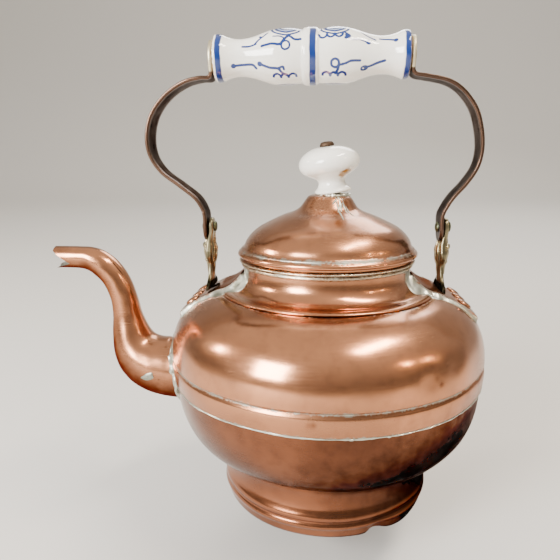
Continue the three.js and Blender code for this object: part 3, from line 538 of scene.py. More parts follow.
def body_wear(points):
    """Where tin, tarnish, polish, painted shade and painted highlight lie on the body."""
    x, y, z = points.T
    r = np.hypot(x, y)
    by_spout = np.exp(-((np.degrees(np.arctan2(y, -x)) / 34) ** 2))
    tin = (0.46 + 0.2 * by_spout) * band(z, SEAM_Z + 12.4, 1.4 + 1.2 * by_spout) * (r > 90)
    tin = np.maximum(tin, (0.38 + 0.2 * by_spout) * band(z, SEAM_Z - 0.3, 1.3) * (r > 90))
    near_plate = band(np.abs(y), 21.5, 2.6) * (np.abs(x) > 46) * (z > 120)
    tin = np.maximum(tin, 0.45 * near_plate)
    tin = np.maximum(tin, 0.4 * band(r, FLANGE_R + 0.9, 1.2) * (z > 130))
    root = np.hypot(y, z - SPOUT_Z)
    tin = np.maximum(tin, 0.6 * band(root, SPOUT_R + 3.5, 3.0) * (x < -60))
    # Green: tarnish in the groove above the swollen band, and painted shade that grows towards the bottom.
    dark = 0.3 * band(z, SEAM_Z + 11.8, 1.6) + 0.34 * np.clip((64 - z) / 34, 0, 1)
    # Painted shade in the groove outside the neck's flange.
    dark = dark + 0.12 * band(r, FLANGE_R + 1.6, 2.2) * (z > 128)
    # Painted shade: darker low down and to the right of the front, and a little darker over the whole bowl.
    shaded_right = np.clip((x + 0.5 * np.abs(y)) / 100, 0, 1) * fading(y, 18, 15)
    dark = dark + 0.62 * shaded_right * np.clip((112 - z) / 50, 0, 1) + 0.14 * (z < SEAM_Z)
    for at, radius, depth in (
        ((58, -79, 106), 2.2, 0.8),
        ((60, -77, 102), 1.6, 0.8),
        ((22, -71, 41), 4.0, 0.8),
        ((29, -69, 42), 2.5, 0.9),
        ((74, -52, 126), 4.0, 0.5),
        ((-6, -98, 88), 2.0, 0.6),
    ):
        dark = dark + bump_at(points, at, radius, depth)
    # Blue: a bright band on the swollen band below the groove, partly polish and partly painted highlight,
    # left off the shaded right.
    polish_and_highlight = 0.3 * band(z, SEAM_Z + 7, 4.5) * (1 - shaded_right)
    return np.stack([tin, dark, polish_and_highlight], axis=1)


SHELL_STOP = NECK_R + 3


def shell_face(out):
    """Outline of the upper shell's face that lies `out` beyond its outside."""
    shoulder = superellipse(
        BODY_R + out, SHOULDER_Z + 0.4, SHOULDER_IN, SHOULDER_TOP + out, SHOULDER_POWER, 60
    )
    face = np.vstack([crease(out)[:-1], shoulder])
    return face[face[:, 0] > SHELL_STOP]


shell_out = shell_face(0)
shell_in = shell_face(-SHEET)
top_end = rounded_end(shell_out[-1], shell_in[-1])
low_end = rounded_end(shell_in[0], shell_out[0])
shell_loop = np.vstack([shell_out, top_end, shell_in[::-1], low_end])
verts, faces = turned(shell_loop, BODY_SIDES)
verts = from_centre(verts, BODY_MIDDLE, worn_body(verts))
upper_shell = piece(
    "upper_shell_copper", verts, faces, COPPER, "kettle", ["upper_shell"], body_wear(verts)
)

bowl_out = superellipse(BOWL_R, SEAM_Z, BOWL_IN, BOWL_LOW, BOWL_POWER, 56)
bowl_in = superellipse(BOWL_R - SHEET, SEAM_Z, BOWL_IN, BOWL_LOW + SHEET, BOWL_POWER, 56)
inside_r = BODY_R - 2 * SHEET - 0.5
bottom = flowing([(BOWL_IN, BOWL_LOW), (50.5, 27), (46, 24.4), (38, 23.5), (20, 23.1), (0, BOWL_FLOOR)], 5)
bottom_in = bottom[::-1] + np.array([0.0, SHEET])
lap_r = inside_r + SHEET
lap = [
    (inside_r, SEAM_Z + 5), (inside_r + SHEET * 0.5, SEAM_Z + 5.2), (lap_r, SEAM_Z + 5), (lap_r, SEAM_Z + 1)
]
bowl_loop = np.vstack(
    [
        lap,
        bowl_out,
        bottom[1:],
        bottom_in[:-1],
        bowl_in[::-1],
        [(inside_r, SEAM_Z + 1)],
    ]
)
verts, faces = turned(bowl_loop, BODY_SIDES)
verts = from_centre(verts, BODY_MIDDLE, worn_body(verts))
lower_bowl = piece(
    "lower_bowl_copper", verts, faces, SHADED_LOWER_COPPER, "kettle", ["lower_bowl"],
    body_wear(verts)
)

# A way through from the body to the spout, cut in both sheets.
drill_verts, drill_faces = turned([(0, -90), (15.5, -90), (15.5, -115), (0, -115)], 48)
drill_verts = np.stack([drill_verts[:, 2], drill_verts[:, 1], drill_verts[:, 0] + SPOUT_Z], axis=1)
for sheet in (upper_shell, lower_bowl):
    mesh = bpy.data.meshes.new("spout_way")
    mesh.from_pydata(frame_points(drill_verts).tolist(), [], [list(map(int, f)) for f in drill_faces])
    shape = bmesh.new()
    shape.from_mesh(mesh)
    bmesh.ops.remove_doubles(shape, verts=shape.verts, dist=1e-6)
    bmesh.ops.recalc_face_normals(shape, faces=shape.faces)
    shape.to_mesh(mesh)
    shape.free()
    drill = bpy.data.objects.new("spout_way", mesh)
    bpy.context.scene.collection.objects.link(drill)
    cut = sheet.modifiers.new("spout_way", "BOOLEAN")
    cut.object = drill
    cut.operation = "DIFFERENCE"
    cut.solver = "EXACT"
    bpy.context.view_layer.update()
    graph = bpy.context.evaluated_depsgraph_get()
    done = bpy.data.meshes.new_from_object(sheet.evaluated_get(graph))
    sheet.modifiers.clear()
    place = np.zeros(len(done.vertices) * 3)
    done.vertices.foreach_get("co", place)
    on_axis = (place.reshape(-1, 3) - (AXIS_X, 0, 0)) / MM
    give_wear(done, body_wear(on_axis))
    sheet.data = done
    bpy.data.objects.remove(drill)

# ---- foot ----------------------------------------------------------------------------------
foot_top = FOOT_R + 0.2
foot_out = flowing(
    [
        (FOOT_R - 0.4, 0.4), (FOOT_R + 0.1, 1.4), (FOOT_R + 0.5, 3.6), (FOOT_R + 0.9, 5.4),
        (FOOT_R + 1.6, 6.6),
        (FOOT_R + 1.8, 7.6), (FOOT_R + 1.4, 8.7), (FOOT_R + 0.9, 9.7), (FOOT_R + 0.8, 10.5),
        (FOOT_R + 1.2, 11.5),
        (FOOT_R + 1.4, 12.5), (FOOT_R + 1.1, 13.7), (FOOT_R + 0.2, 15.6), (FOOT_R - 0.7, 18.0),
        (FOOT_R - 1.2, 21),
        (FOOT_R - 1.1, 25), (FOOT_R - 0.4, 28.5), (foot_top, bowl_z(foot_top) - 0.1),
    ],
    6,
)
foot_in = flowing(
    [
        (foot_top - SHEET, bowl_z(foot_top - SHEET) - 0.1), (FOOT_R - 2.4, 26), (FOOT_R - 2.5, 21),
        (FOOT_R - 1.9, 15),
        (FOOT_R - 1.7, 8), (FOOT_R - 2.6, 4), (FOOT_R - 3.1, 1.5), (FOOT_R - 2.9, 0.3),
    ],
    5,
)
foot_loop = np.vstack([foot_out, foot_in, [(FOOT_R - 2.5, 0.0), (FOOT_R - 0.8, 0.0)]])
verts, faces = turned(foot_loop, BODY_SIDES)
away = waver(verts, 46, 0.22, 8)
verts = verts + np.stack([verts[:, 0], verts[:, 1], np.zeros(len(verts))], axis=1) / FOOT_R * away[:, None]
# A knock has pushed the edge up at the front right, and it bends out a little beyond that.
bearing = np.degrees(np.arctan2(verts[:, 0], -verts[:, 1]))
lifted = 1 / (1 + np.exp(-(bearing - 24.5) / 0.9)) / (1 + np.exp((bearing - 33) / 1.8))
lifted = lifted * np.clip((8 - verts[:, 2]) / 6, 0, 1)
splayed = band(bearing, 44, 11) * np.clip((12 - verts[:, 2]) / 9, 0, 1)
for axis in (0, 1):
    verts[:, axis] += verts[:, axis] / FOOT_R * (1.3 * splayed - 1.4 * lifted)
verts[:, 2] += lifted * 2.4
# Red: a little tin in the groove. Green: darker in the groove, at the join with the bowl and on the bottom
# edge, with painted shade over the right side. Blue: brighter on the crests of the two beads, with painted
# highlight over the left side.
wear = np.stack(
    [
        0.12 * band(verts[:, 2], 10, 1.0),
        0.25 * band(verts[:, 2], 10, 1.0) + 0.4 * band(verts[:, 2], 30, 2.5) + 0.2 * (verts[:, 2] < 1.5)
        + 0.85 * np.clip((verts[:, 0] + 8) / 60, 0, 1) * fading(verts[:, 1], 14, 10),
        0.45 * band(verts[:, 2], 7.5, 1.2) + 0.45 * band(verts[:, 2], 12.4, 1.2) + 0.3 * (verts[:, 0] < -10),
    ],
    axis=1,
)
piece("foot_copper", verts, faces, SHADED_LOWER_COPPER, "kettle", ["foot_ring"], wear)

# ---- neck ----------------------------------------------------------------------------------
collar_out = flowing(
    [
        (FLANGE_R, shoulder_z(FLANGE_R) + 0.35), (FLANGE_R + 0.1, shoulder_z(FLANGE_R) + 0.95),
        (FLANGE_R - 0.5, shoulder_z(FLANGE_R) + 1.45), (63.8, shoulder_z(63.8) + 1.55), (60.5, 135.9),
        (57.2, 137.6), (54.6, 140), (52.9, 142.9), (NECK_R + 0.2, 146), (NECK_R, NECK_TOP),
    ],
    7,
)
collar_in = flowing(
    [
        (NECK_R - SHEET, NECK_TOP), (NECK_R - SHEET + 0.1, 146), (51.5, 142.5), (53.2, 139.2), (56, 136.6),
        (60, shoulder_z(60) + 0.3), (FLANGE_R - 0.4, shoulder_z(FLANGE_R - 0.4) + 0.2),
    ],
    6,
)
verts, faces = turned(np.vstack([collar_out, collar_in]), 220)
verts = from_centre(verts, (0, 0, 120), waver(verts, 40, 0.16, 12))
r = np.hypot(verts[:, 0], verts[:, 1])
side_on = band(np.abs(verts[:, 1]), 20, 6) * (np.abs(verts[:, 0]) > 40)
wear = np.stack(
    [
        0.8 * side_on + 0.16 * band(r, FLANGE_R, 0.7) + 0.2 * band(verts[:, 2], NECK_TOP, 0.8),
        0.2 * band(r, FLANGE_R, 1.0) + 0.2 * band(verts[:, 2], 147.5, 2),
        0.6 * band(r, FLANGE_R - 0.8, 1.2),
    ],
    axis=1,
)
piece("neck_collar_copper", verts, faces, COPPER, "kettle", ["neck_collar"], wear)

low = NECK_TOP + 0.1
bead_r = NECK_R + 2.6
bead_loop = np.vstack(
    [
        [(NECK_R - SHEET, low)],
        flowing(
            [
                (NECK_R + 0.4, low), (bead_r - 1.9, low), (bead_r - 1.3, low + 0.5),
                (bead_r - 1.2, low + 1.1),
                (bead_r - 1.5, low + 1.8), (bead_r - 1.7, low + 2.15), (bead_r - 0.8, low + 2.6),
                (bead_r, low + 3.3), (bead_r - 0.5, low + 4.0), (bead_r - 1.6, BEAD_TOP - 0.05),
            ],
            5,
        ),
        [(NECK_R - SHEET, BEAD_TOP - 0.05)],
    ]
)
verts, faces = turned(bead_loop, BODY_SIDES)
verts[:, 2] += waver(verts, 30, 0.05, 15)
wear = np.stack(
    [
        np.full(len(verts), 0.34),
        0.95 * band(verts[:, 2], low + 2.15, 0.7) + 0.4 * band(verts[:, 2], low, 0.5),
        0.5 * band(verts[:, 2], low + 3.3, 0.6),
    ],
    axis=1,
)
piece("neck_bead_tinned", verts, faces, BEAD, "kettle", ["neck_bead"], wear)


# ---- solder that was run on by hand ----------------------------------------------------------
def rope(path, radius, sides=12, closed=False, flat=1.0, seed=1, rough=0.25, pitch=3.5):
    """A lumpy bead along a path of points, with its own radius at each point."""
    path = np.asarray(path, float)
    n = len(path)
    if closed:
        ahead = np.roll(path, -1, axis=0) - np.roll(path, 1, axis=0)
    else:
        ahead = np.gradient(path, axis=0)
    ahead /= np.linalg.norm(ahead, axis=1, keepdims=True)
    upish = np.array([0.13, 0.31, 1.0])
    right = np.cross(ahead, upish)
    right /= np.linalg.norm(right, axis=1, keepdims=True)
    up = np.cross(right, ahead)
    angle = np.linspace(0, TAU, sides, endpoint=False)
    radius = np.broadcast_to(np.asarray(radius, float), (n,))
    ring = (
        path[:, None]
        + right[:, None] * (np.cos(angle)[None, :, None] * radius[:, None, None])
        + up[:, None] * (np.sin(angle)[None, :, None] * radius[:, None, None] * flat)
    )
    verts = ring.reshape(-1, 3)
    middle = np.repeat(path, sides, axis=0)
    swell = 1 + waver(verts, pitch, rough, seed) + waver(verts, pitch * 0.35, rough * 0.3, seed + 1)
    verts = middle + (verts - middle) * swell[:, None].clip(0.35, 1.9)
    faces = ring_faces(n, sides, closed)
    if not closed:
        verts = np.vstack(
            [verts, path[0] - ahead[0] * radius[0] * 0.3, path[-1] + ahead[-1] * radius[-1] * 0.3]
        )
        for k in range(sides):
            faces.append((n * sides, (k + 1) % sides, k))
            faces.append((n * sides + 1, (n - 1) * sides + k, (n - 1) * sides + (k + 1) % sides))
    return verts, faces


def slab_faces(n, m):
    """Faces of a thin slab: n by m points on top, as many under them, and the four edges."""
    base = n * m
    faces = []
    for i in range(n - 1):
        for k in range(m - 1):
            a = i * m + k
            faces.append((a, a + 1, a + m + 1, a + m))
            faces.append((base + a, base + a + m, base + a + m + 1, base + a + 1))
    for i in range(n - 1):
        for k in (0, m - 1):
            a = i * m + k
            faces.append((a, a + m, base + a + m, base + a))
    for k in range(m - 1):
        for i in (0, n - 1):
            a = i * m + k
            faces.append((a, a + 1, base + a + 1, base + a))
    return faces


def join(*parts):
    """Several lots of points and faces as one."""
    verts, faces, base = [], [], 0
    for v, f in parts:
        verts.append(v)
        faces += [tuple(i + base for i in face) for face in f]
        base += len(v)
    return np.vstack(verts), faces


# The seam: a thin bright line with a few drops, open where the spout's root covers it.
angle = np.radians(np.linspace(-165, 165, 520))
seam_r = BODY_R - 0.9
seam_path = np.stack(
    [seam_r * np.cos(angle), seam_r * np.sin(angle), np.full(len(angle), SEAM_Z - 0.75)], axis=1
)
seam_path = from_centre(seam_path, BODY_MIDDLE, worn_body(seam_path))
seam_line = rope(seam_path, 0.42, 8, rough=0.35, pitch=7, seed=21)
drops = []
draw = np.random.default_rng(5)
for a in draw.uniform(-2.7, 2.7, 26):
    span = np.linspace(-0.03, 0.03, 7) * draw.uniform(0.3, 1.0)
    r = seam_r - 0.1
    path = np.stack([r * np.cos(a + span), r * np.sin(a + span), np.full(7, SEAM_Z - 0.9)], axis=1)
    path = from_centre(path, BODY_MIDDLE, worn_body(path))
    drops.append(rope(path, 0.55 * np.sin(np.linspace(0.35, 2.8, 7)) + 0.08, 8, seed=31, rough=0.2))
verts, faces = join(seam_line, *drops)
piece("seam_solder_line", verts, faces, SOLDER, "kettle", ["seam_solder"])

# ---- spout ---------------------------------------------------------------------------------
# x, z, heading in degrees from -X towards +Z, outside radius, along the swan neck.
SPOUT_LINE = [
    (-88, 77, 0, 20.0), (-97, 77, 0, 20.0), (-106, 77.8, 8, 19.8), (-116, 80.8, 28, 19.0),
    (-124, 87.2, 50, 16.9), (-128.4, 95.2, 69, 14.1), (-130.2, 104.5, 81, 11.6), (-131.4, 114, 88, 9.5),
    (-132.6, 122.5, 84, 8.7), (-134.8, 131, 74, 8.5), (-138.6, 139.2, 58, 8.4), (-144.6, 146, 39, 8.3),
    (-152.5, 150.6, 20, 7.9), (-162, 151.9, 4, 7.2), (-177.6, 151.9, 0, 7.1),
]
spout_line = flowing(SPOUT_LINE, 9)
SPOUT_SIDES = 72


def spout_skin(less):
    """Rings of the spout's surface, thinned by `less`, from the body to the beak."""
    x, z, heading, radius = spout_line.T
    a = np.radians(heading)
    t = np.linspace(0, TAU, SPOUT_SIDES, endpoint=False)
    r = (radius - less)[:, None]
    ring = np.stack(
        [
            x[:, None] + np.sin(a)[:, None] * np.cos(t) * r,
            np.sin(t) * r,
            z[:, None] + np.cos(a)[:, None] * np.cos(t) * r,
        ],
        axis=-1,
    )
    # The beak: both sides are cut back to a point, and the lips run on above and below it.
    start = -150.0
    tip = ring[-1]
    back = 0.5 + 0.5 * np.clip(tip[:, 1] / 5, -1, 1)  # 0 on the near side and 1 on the far side
    corner_x = -165.0 - 3.0 * back
    rise = tip[:, 2] - (148.3 + 1.6 * back)
    lip = corner_x - np.where(rise > 0, 1.35 * rise, -2.6 * rise) - 0.25
    lip = np.maximum(lip, -176.6)
    share = np.clip((start - ring[:, :, 0]) / (start - tip[None, :, 0]), 0, 1)
    scale = (start - lip) / (start - tip[:, 0])
    beyond = ring[:, :, 0] < start
    ring[:, :, 0] = np.where(
        beyond, start - (start - tip[None, :, 0]) * share * scale[None, :], ring[:, :, 0]
    )
    # The root is cut to the round of the body.
    wall = -np.sqrt(
        np.clip((body_radius(ring[0, :, 2]) - 0.4 - less * 0.5) ** 2 - ring[0, :, 1] ** 2, 0, None)
    )
    near = ring[:, :, 0] > -104
    run = (-104 - ring[:, :, 0]) / (-104 - ring[0, :, 0][None, :])
    ring[:, :, 0] = np.where(near, -104 + (wall[None, :] + 104) * run, ring[:, :, 0])
    return ring


outer = spout_skin(0.0)
inner = spout_skin(1.2)
count = len(spout_line)
loop = np.concatenate([outer, inner[::-1]], axis=0)
verts = loop.reshape(-1, 3)
faces = ring_faces(2 * count, SPOUT_SIDES, True)
swell = waver(verts, 34, 0.16, 41) + waver(verts, 11, 0.05, 42)
middle_y = np.zeros(len(verts))
line_x = np.concatenate([spout_line[:, 0], spout_line[::-1, 0]]).repeat(SPOUT_SIDES)
line_z = np.concatenate([spout_line[:, 1], spout_line[::-1, 1]]).repeat(SPOUT_SIDES)
centre = np.stack([line_x, middle_y, line_z], axis=1)
out_way = verts - centre
out_way /= np.maximum(np.linalg.norm(out_way, axis=1, keepdims=True), 1e-6)
verts = verts + out_way * swell[:, None]
is_bore = np.arange(len(verts)) >= count * SPOUT_SIDES
root = np.clip((verts[:, 0] + 100) / 8, 0, 1)
# Red: tin lines the bore and runs on at the root. Green: darker at the beak, with painted shade on the
# underside and on the side away from the body. Blue: painted highlight round the upright middle of the neck.
wear = np.stack(
    [
        np.where(is_bore, 1.0, 0.55 * root),
        np.where(
            is_bore, 0.3,
            0.3 * band(verts[:, 0], -172, 10) + 0.8 * np.clip(
                -out_way[:, 2] - 0.3 * out_way[:, 0] + 0.45, 0, 1
            )
        ),
        np.where(is_bore, 0.0, 0.35 * band(verts[:, 2], 118, 18)),
    ],
    axis=1,
)
piece("spout_copper", verts, faces, COPPER, "kettle", ["spout"], wear)


def on_spout(at, angle, lift):
    """Points on the spout's outside: `at` runs along its line and `angle` round it."""
    at = np.asarray(at, float)
    i = np.clip(at.astype(int), 0, count - 2)
    share = (at - i)[..., None]
    k = np.asarray(angle, float) / TAU * SPOUT_SIDES
    k0 = np.floor(k).astype(int)
    part = (k - k0)[..., None]

    def at_ring(row):
        return outer[row, k0 % SPOUT_SIDES] * (1 - part) + outer[row, (k0 + 1) % SPOUT_SIDES] * part

    place = at_ring(i) * (1 - share) + at_ring(i + 1) * share
    line = spout_line[i][..., :2] * (1 - share) + spout_line[i + 1][..., :2] * share
    centre = np.stack([line[..., 0], np.zeros(line.shape[:-1]), line[..., 1]], axis=-1)
    way = place - centre
    way /= np.linalg.norm(way, axis=-1, keepdims=True)
    return place + way * np.asarray(lift, float)[..., None]


PATCH_AT = 24.0  # stations along the spout
PATCH_TURN = math.radians(262)
PATCH_LONG = 8.6
PATCH_WIDE = 4.6
PATCH_LEAN = math.radians(-50)
PATCH_HIGH = 0.5


def patch_on_spout(at, angle, long, wide, lean, high, rings=7, sides=30):
    """A low blob of metal on the spout: an oval of that length and width in millimetres, leaning."""
    step = np.linalg.norm(np.diff(spout_line[:, :2], axis=0), axis=1)[int(at)]
    radius = spout_line[int(at), 3]
    share = np.linspace(1, 0.0, rings + 1)[:-1]
    t = np.linspace(0, TAU, sides, endpoint=False)
    uneven = 1 + 0.1 * np.sin(3 * t + 1) + 0.06 * np.sin(5 * t)
    u = share[:, None] * np.cos(t) * long / 2 * uneven
    v = share[:, None] * np.sin(t) * wide / 2 * uneven
    du = u * math.cos(lean) - v * math.sin(lean)
    dv = u * math.sin(lean) + v * math.cos(lean)
    lift = np.repeat(high * (1 - share[:, None] ** 3), sides, axis=1)
    top = on_spout(at + du / step, angle + dv / radius, lift)
    under = on_spout(at + du[:1] / step, angle + dv[:1] / radius, np.full_like(lift[:1], -0.4))
    tip = on_spout(np.array(at), np.array(angle), np.array(high))
    low_tip = on_spout(np.array(at), np.array(angle), np.array(-0.5))
    verts = np.vstack([under.reshape(-1, 3), top.reshape(-1, 3), tip[None], low_tip[None]])
    faces = ring_faces(rings + 1, sides, False)
    last = rings * sides
    n = len(verts)
    for k in range(sides):
        faces.append((last + k, last + (k + 1) % sides, n - 2))
        faces.append(((k + 1) % sides, k, n - 1))
    return verts, faces


verts, faces = patch_on_spout(PATCH_AT, PATCH_TURN, PATCH_LONG, PATCH_WIDE, PATCH_LEAN, PATCH_HIGH)
piece(
    "spout_patch_solder", verts, faces, SOLDER, "kettle",
    wear=np.full((len(verts), 3), (0.0, 0.6, 0.0))
)

# The solder round the spout's root: two uneven beads, one inside the other.
t = np.linspace(0, TAU, 220, endpoint=False)
beads = []
for reach, size, seed in ((SPOUT_R + 1.3, 1.7, 51), (SPOUT_R + 3.9, 1.25, 57), (SPOUT_R + 0.1, 1.2, 63)):
    ring = reach + 0.5 * np.sin(3 * t + seed) + 0.35 * np.sin(7 * t + 2 * seed)
    y = ring * np.sin(t)
    z = SPOUT_Z + ring * np.cos(t)
    lift = 0.1 + (SPOUT_R + 3.2 - reach) * 0.75
    x = -np.sqrt(body_radius(z) ** 2 - y**2) - lift
    size_here = size * (0.85 + 0.25 * np.sin(5 * t + seed) + 0.12 * np.sin(11 * t))
    beads.append(
        rope(np.stack([x, y, z], axis=1), size_here, 12, closed=True, seed=seed, rough=0.34, pitch=5)
    )
verts, faces = join(*beads)
piece(
    "spout_root_solder", verts, faces, SOLDER, "kettle", ["spout_solder"],
    np.full((len(verts), 3), (0.0, 0.3, 0.1))
)

# ---- lug plates ----------------------------------------------------------------------------
PLATE_LINE = [
    (51.0, 144.4), (54.4, 140.6), (57.2, 138.0), (60.8, 135.9), (66.8, 133.9), (72, 131.4), (78, 128.6),
    (84, 124.9), (88, 121.6), (90.6, 119.2),
]
plate_line = flowing(PLATE_LINE, 6)
PLATE_HALF = 20.0
PLATE_THICK = 1.8


def skin_height(r):
    """Height of the body, collar and neck at a radius, seen from above."""
    r = np.asarray(r, float)
    collar = np.interp(
        r,
        [51.6, 52.1, 52.9, 54.6, 57.2, 60.5, 63.8, FLANGE_R, FLANGE_R + 0.6],
        [
            149, 146, 142.9, 140, 137.6, 135.9, shoulder_z(63.8) + 1.55, shoulder_z(FLANGE_R) + 1.2,
            shoulder_z(FLANGE_R + 0.6)
        ],
    )
    return np.where(r > FLANGE_R + 0.6, shoulder_z(r), collar)


def plate_points(side):
    """A bent plate of sheet with rounded edges and corners, a little wavy."""
    rows = plate_line
    n = len(rows)
    across = np.linspace(-1, 1, 25)
    lengths = np.concatenate([[0], np.cumsum(np.linalg.norm(np.diff(rows, axis=0), axis=1))])
    total = lengths[-1]
    top = []
    for i, (x, z) in enumerate(rows):
        near_end = min(total - lengths[i], 6.0)
        half = PLATE_HALF - (6.0 - near_end) ** 2 / 12
        y = across * half
        edge = (1 - np.abs(across) ** 14) * 0.5
        end = 1 - 0.5 * max(0, 1 - (total - lengths[i]) / 0.8)
        out = np.full_like(y, x + 0.35 * PLATE_THICK)
        top.append(np.stack([out, y, z + PLATE_THICK * end - 0.5 + edge], axis=1))
    top = np.array(top)
    top[:, :, 2] += waver(top.reshape(-1, 3), 17, 0.18, 70).reshape(top.shape[:2])
    under = top.copy()
    under[:, :, 0] -= 0.35 * PLATE_THICK
    under[:, :, 2] -= PLATE_THICK
    verts = np.vstack([top.reshape(-1, 3), under.reshape(-1, 3)])
    verts[:, 0] *= side
    return verts, slab_faces(n, len(across))


def plate_top(x):
    """Height of a plate's top at a distance from the axis."""
    return np.interp(x, plate_line[:, 0] + 0.35 * PLATE_THICK, plate_line[:, 1] + PLATE_THICK)


NEAR_NECK = 46.8


def solder_run(side, edge, seed):
    """Solder that fills the gap between the plate's edge and the round shoulder and runs out over
    the copper, thick at the plate and ragged at its far edge."""
    s = np.linspace(0, 1, 70)
    t = np.linspace(0, 1, 13)
    x = NEAR_NECK + s * (90.0 - NEAR_NECK)
    ragged = 1.6 + 0.5 * np.sin(9 * s + seed) + 0.4 * np.sin(23 * s + 2 * seed)
    ragged = ragged + 5.5 * np.exp(-(((s - 0.1) / 0.14) ** 2)) + 3.2 * np.exp(-(((s - 0.42) / 0.1) ** 2))
    ragged = ragged * np.clip((1.03 - s) / 0.1, 0.15, 1) ** 0.5
    y_in = PLATE_HALF - 3.0
    y = y_in + (3.0 + ragged[:, None]) * t[None, :]
    xx = np.repeat(x[:, None], 13, axis=1)
    r = np.hypot(xx, y)
    skin = skin_height(np.maximum(r, 52.0))
    plate_low = np.interp(x, plate_line[:, 0], plate_line[:, 1])[:, None] + 0.75 * PLATE_THICK
    fall = np.clip((y - (PLATE_HALF - 0.3)) / np.maximum(ragged[:, None], 0.5), 0, 1)
    climb = 4.2 * np.exp(-((np.maximum(r - NECK_R, 0) / 0.9) ** 2))
    high = np.maximum(np.maximum(plate_low - skin, 0.5), climb * (r < NECK_R + 6))
    lift = 0.25 + (high - 0.25) * (1 - fall) ** 1.7
    lift = np.where(t[None, :] > 0.97, -0.2, lift)
    top = np.stack([xx, y, skin + lift], axis=-1)
    spots = top.reshape(-1, 3)
    lumps = waver(spots, 4.5, 0.34, seed) + waver(spots, 1.9, 0.12, seed + 5)
    top[:, :, 2] += lumps.reshape(lift.shape) * np.clip(lift, 0, 1)
    under = top.copy()
    under[:, :, 2] = skin - 0.6
    verts = np.vstack([top.reshape(-1, 3), under.reshape(-1, 3)])
    verts[:, 0] *= side
    verts[:, 1] *= edge
    return verts, slab_faces(*lift.shape)


def rivet_row(name, count, pitch, radius, high, material):
    """Domed rivets in a row along Y, made once and set out by rule, flattened on top as they were
    struck and with a small brim."""
    tree = bpy.data.node_groups.new(name, "GeometryNodeTree")
    face = tree.interface
    face.new_socket("Geometry", in_out="OUTPUT", socket_type="NodeSocketGeometry")
    sockets = {}
    for label, value in (("Count", count), ("Pitch", pitch), ("Radius", radius), ("Height", high)):
        kind = "NodeSocketInt" if label == "Count" else "NodeSocketFloat"
        made = face.new_socket(label, in_out="INPUT", socket_type=kind)
        made.default_value = value
        sockets[label] = made.identifier
    given = add(tree, "NodeGroupInput")
    given_at = {s.name: s for s in given.outputs}
    out = add(tree, "NodeGroupOutput")
    step = add(tree, "ShaderNodeCombineXYZ", {1: given_at["Pitch"]})
    row = add(
        tree, "GeometryNodeMeshLine", {"Count": given_at["Count"], "Offset": step.outputs[0]}, mode="OFFSET"
    )
    ball = add(tree, "GeometryNodeMeshUVSphere", {"Segments": 28, "Rings": 14, "Radius": given_at["Radius"]})
    place = add(tree, "GeometryNodeInputPosition")
    parts = add(tree, "ShaderNodeSeparateXYZ", {0: place.outputs[0]})
    # The lower half goes flat, and the upper half is squared off to the height of a struck head.
    share = add(tree, "ShaderNodeMath", {0: parts.outputs[2], 1: given_at["Radius"]}, operation="DIVIDE")
    above = add(tree, "ShaderNodeMath", {0: share.outputs[0], 1: 0.0}, operation="MAXIMUM")
    squared = add(tree, "ShaderNodeMath", {0: above.outputs[0], 1: 0.72}, operation="POWER")
    height = add(tree, "ShaderNodeMath", {0: squared.outputs[0], 1: given_at["Height"]}, operation="MULTIPLY")
    below = add(tree, "ShaderNodeMath", {0: share.outputs[0], 1: 0.0}, operation="MINIMUM")
    sunk = add(tree, "ShaderNodeMath", {0: below.outputs[0], 1: 0.0007}, operation="MULTIPLY")
    level = add(tree, "ShaderNodeMath", {0: height.outputs[0], 1: sunk.outputs[0]}, operation="ADD")
    moved = add(tree, "ShaderNodeCombineXYZ", {0: parts.outputs[0], 1: parts.outputs[1], 2: level.outputs[0]})
    head = add(tree, "GeometryNodeSetPosition", {"Geometry": ball.outputs[0], "Position": moved.outputs[0]})
    many = add(tree, "GeometryNodeInstanceOnPoints", {"Points": row.outputs[0], "Instance": head.outputs[0]})
    real = add(tree, "GeometryNodeRealizeInstances", {0: many.outputs[0]})
    painted = add(tree, "GeometryNodeSetMaterial", {"Geometry": real.outputs[0], "Material": material})
    tree.links.new(painted.outputs[0], out.inputs[0])
    return tree, sockets


RIVET_X = 83.0
RIVET_PITCH = 15.0
RIVET_R = 4.7
RIVET_HIGH = 1.7
rivet_tree, rivet_sockets = rivet_row(
    "plate_rivets", 3, RIVET_PITCH * MM, RIVET_R * MM, RIVET_HIGH * MM, COPPER
)

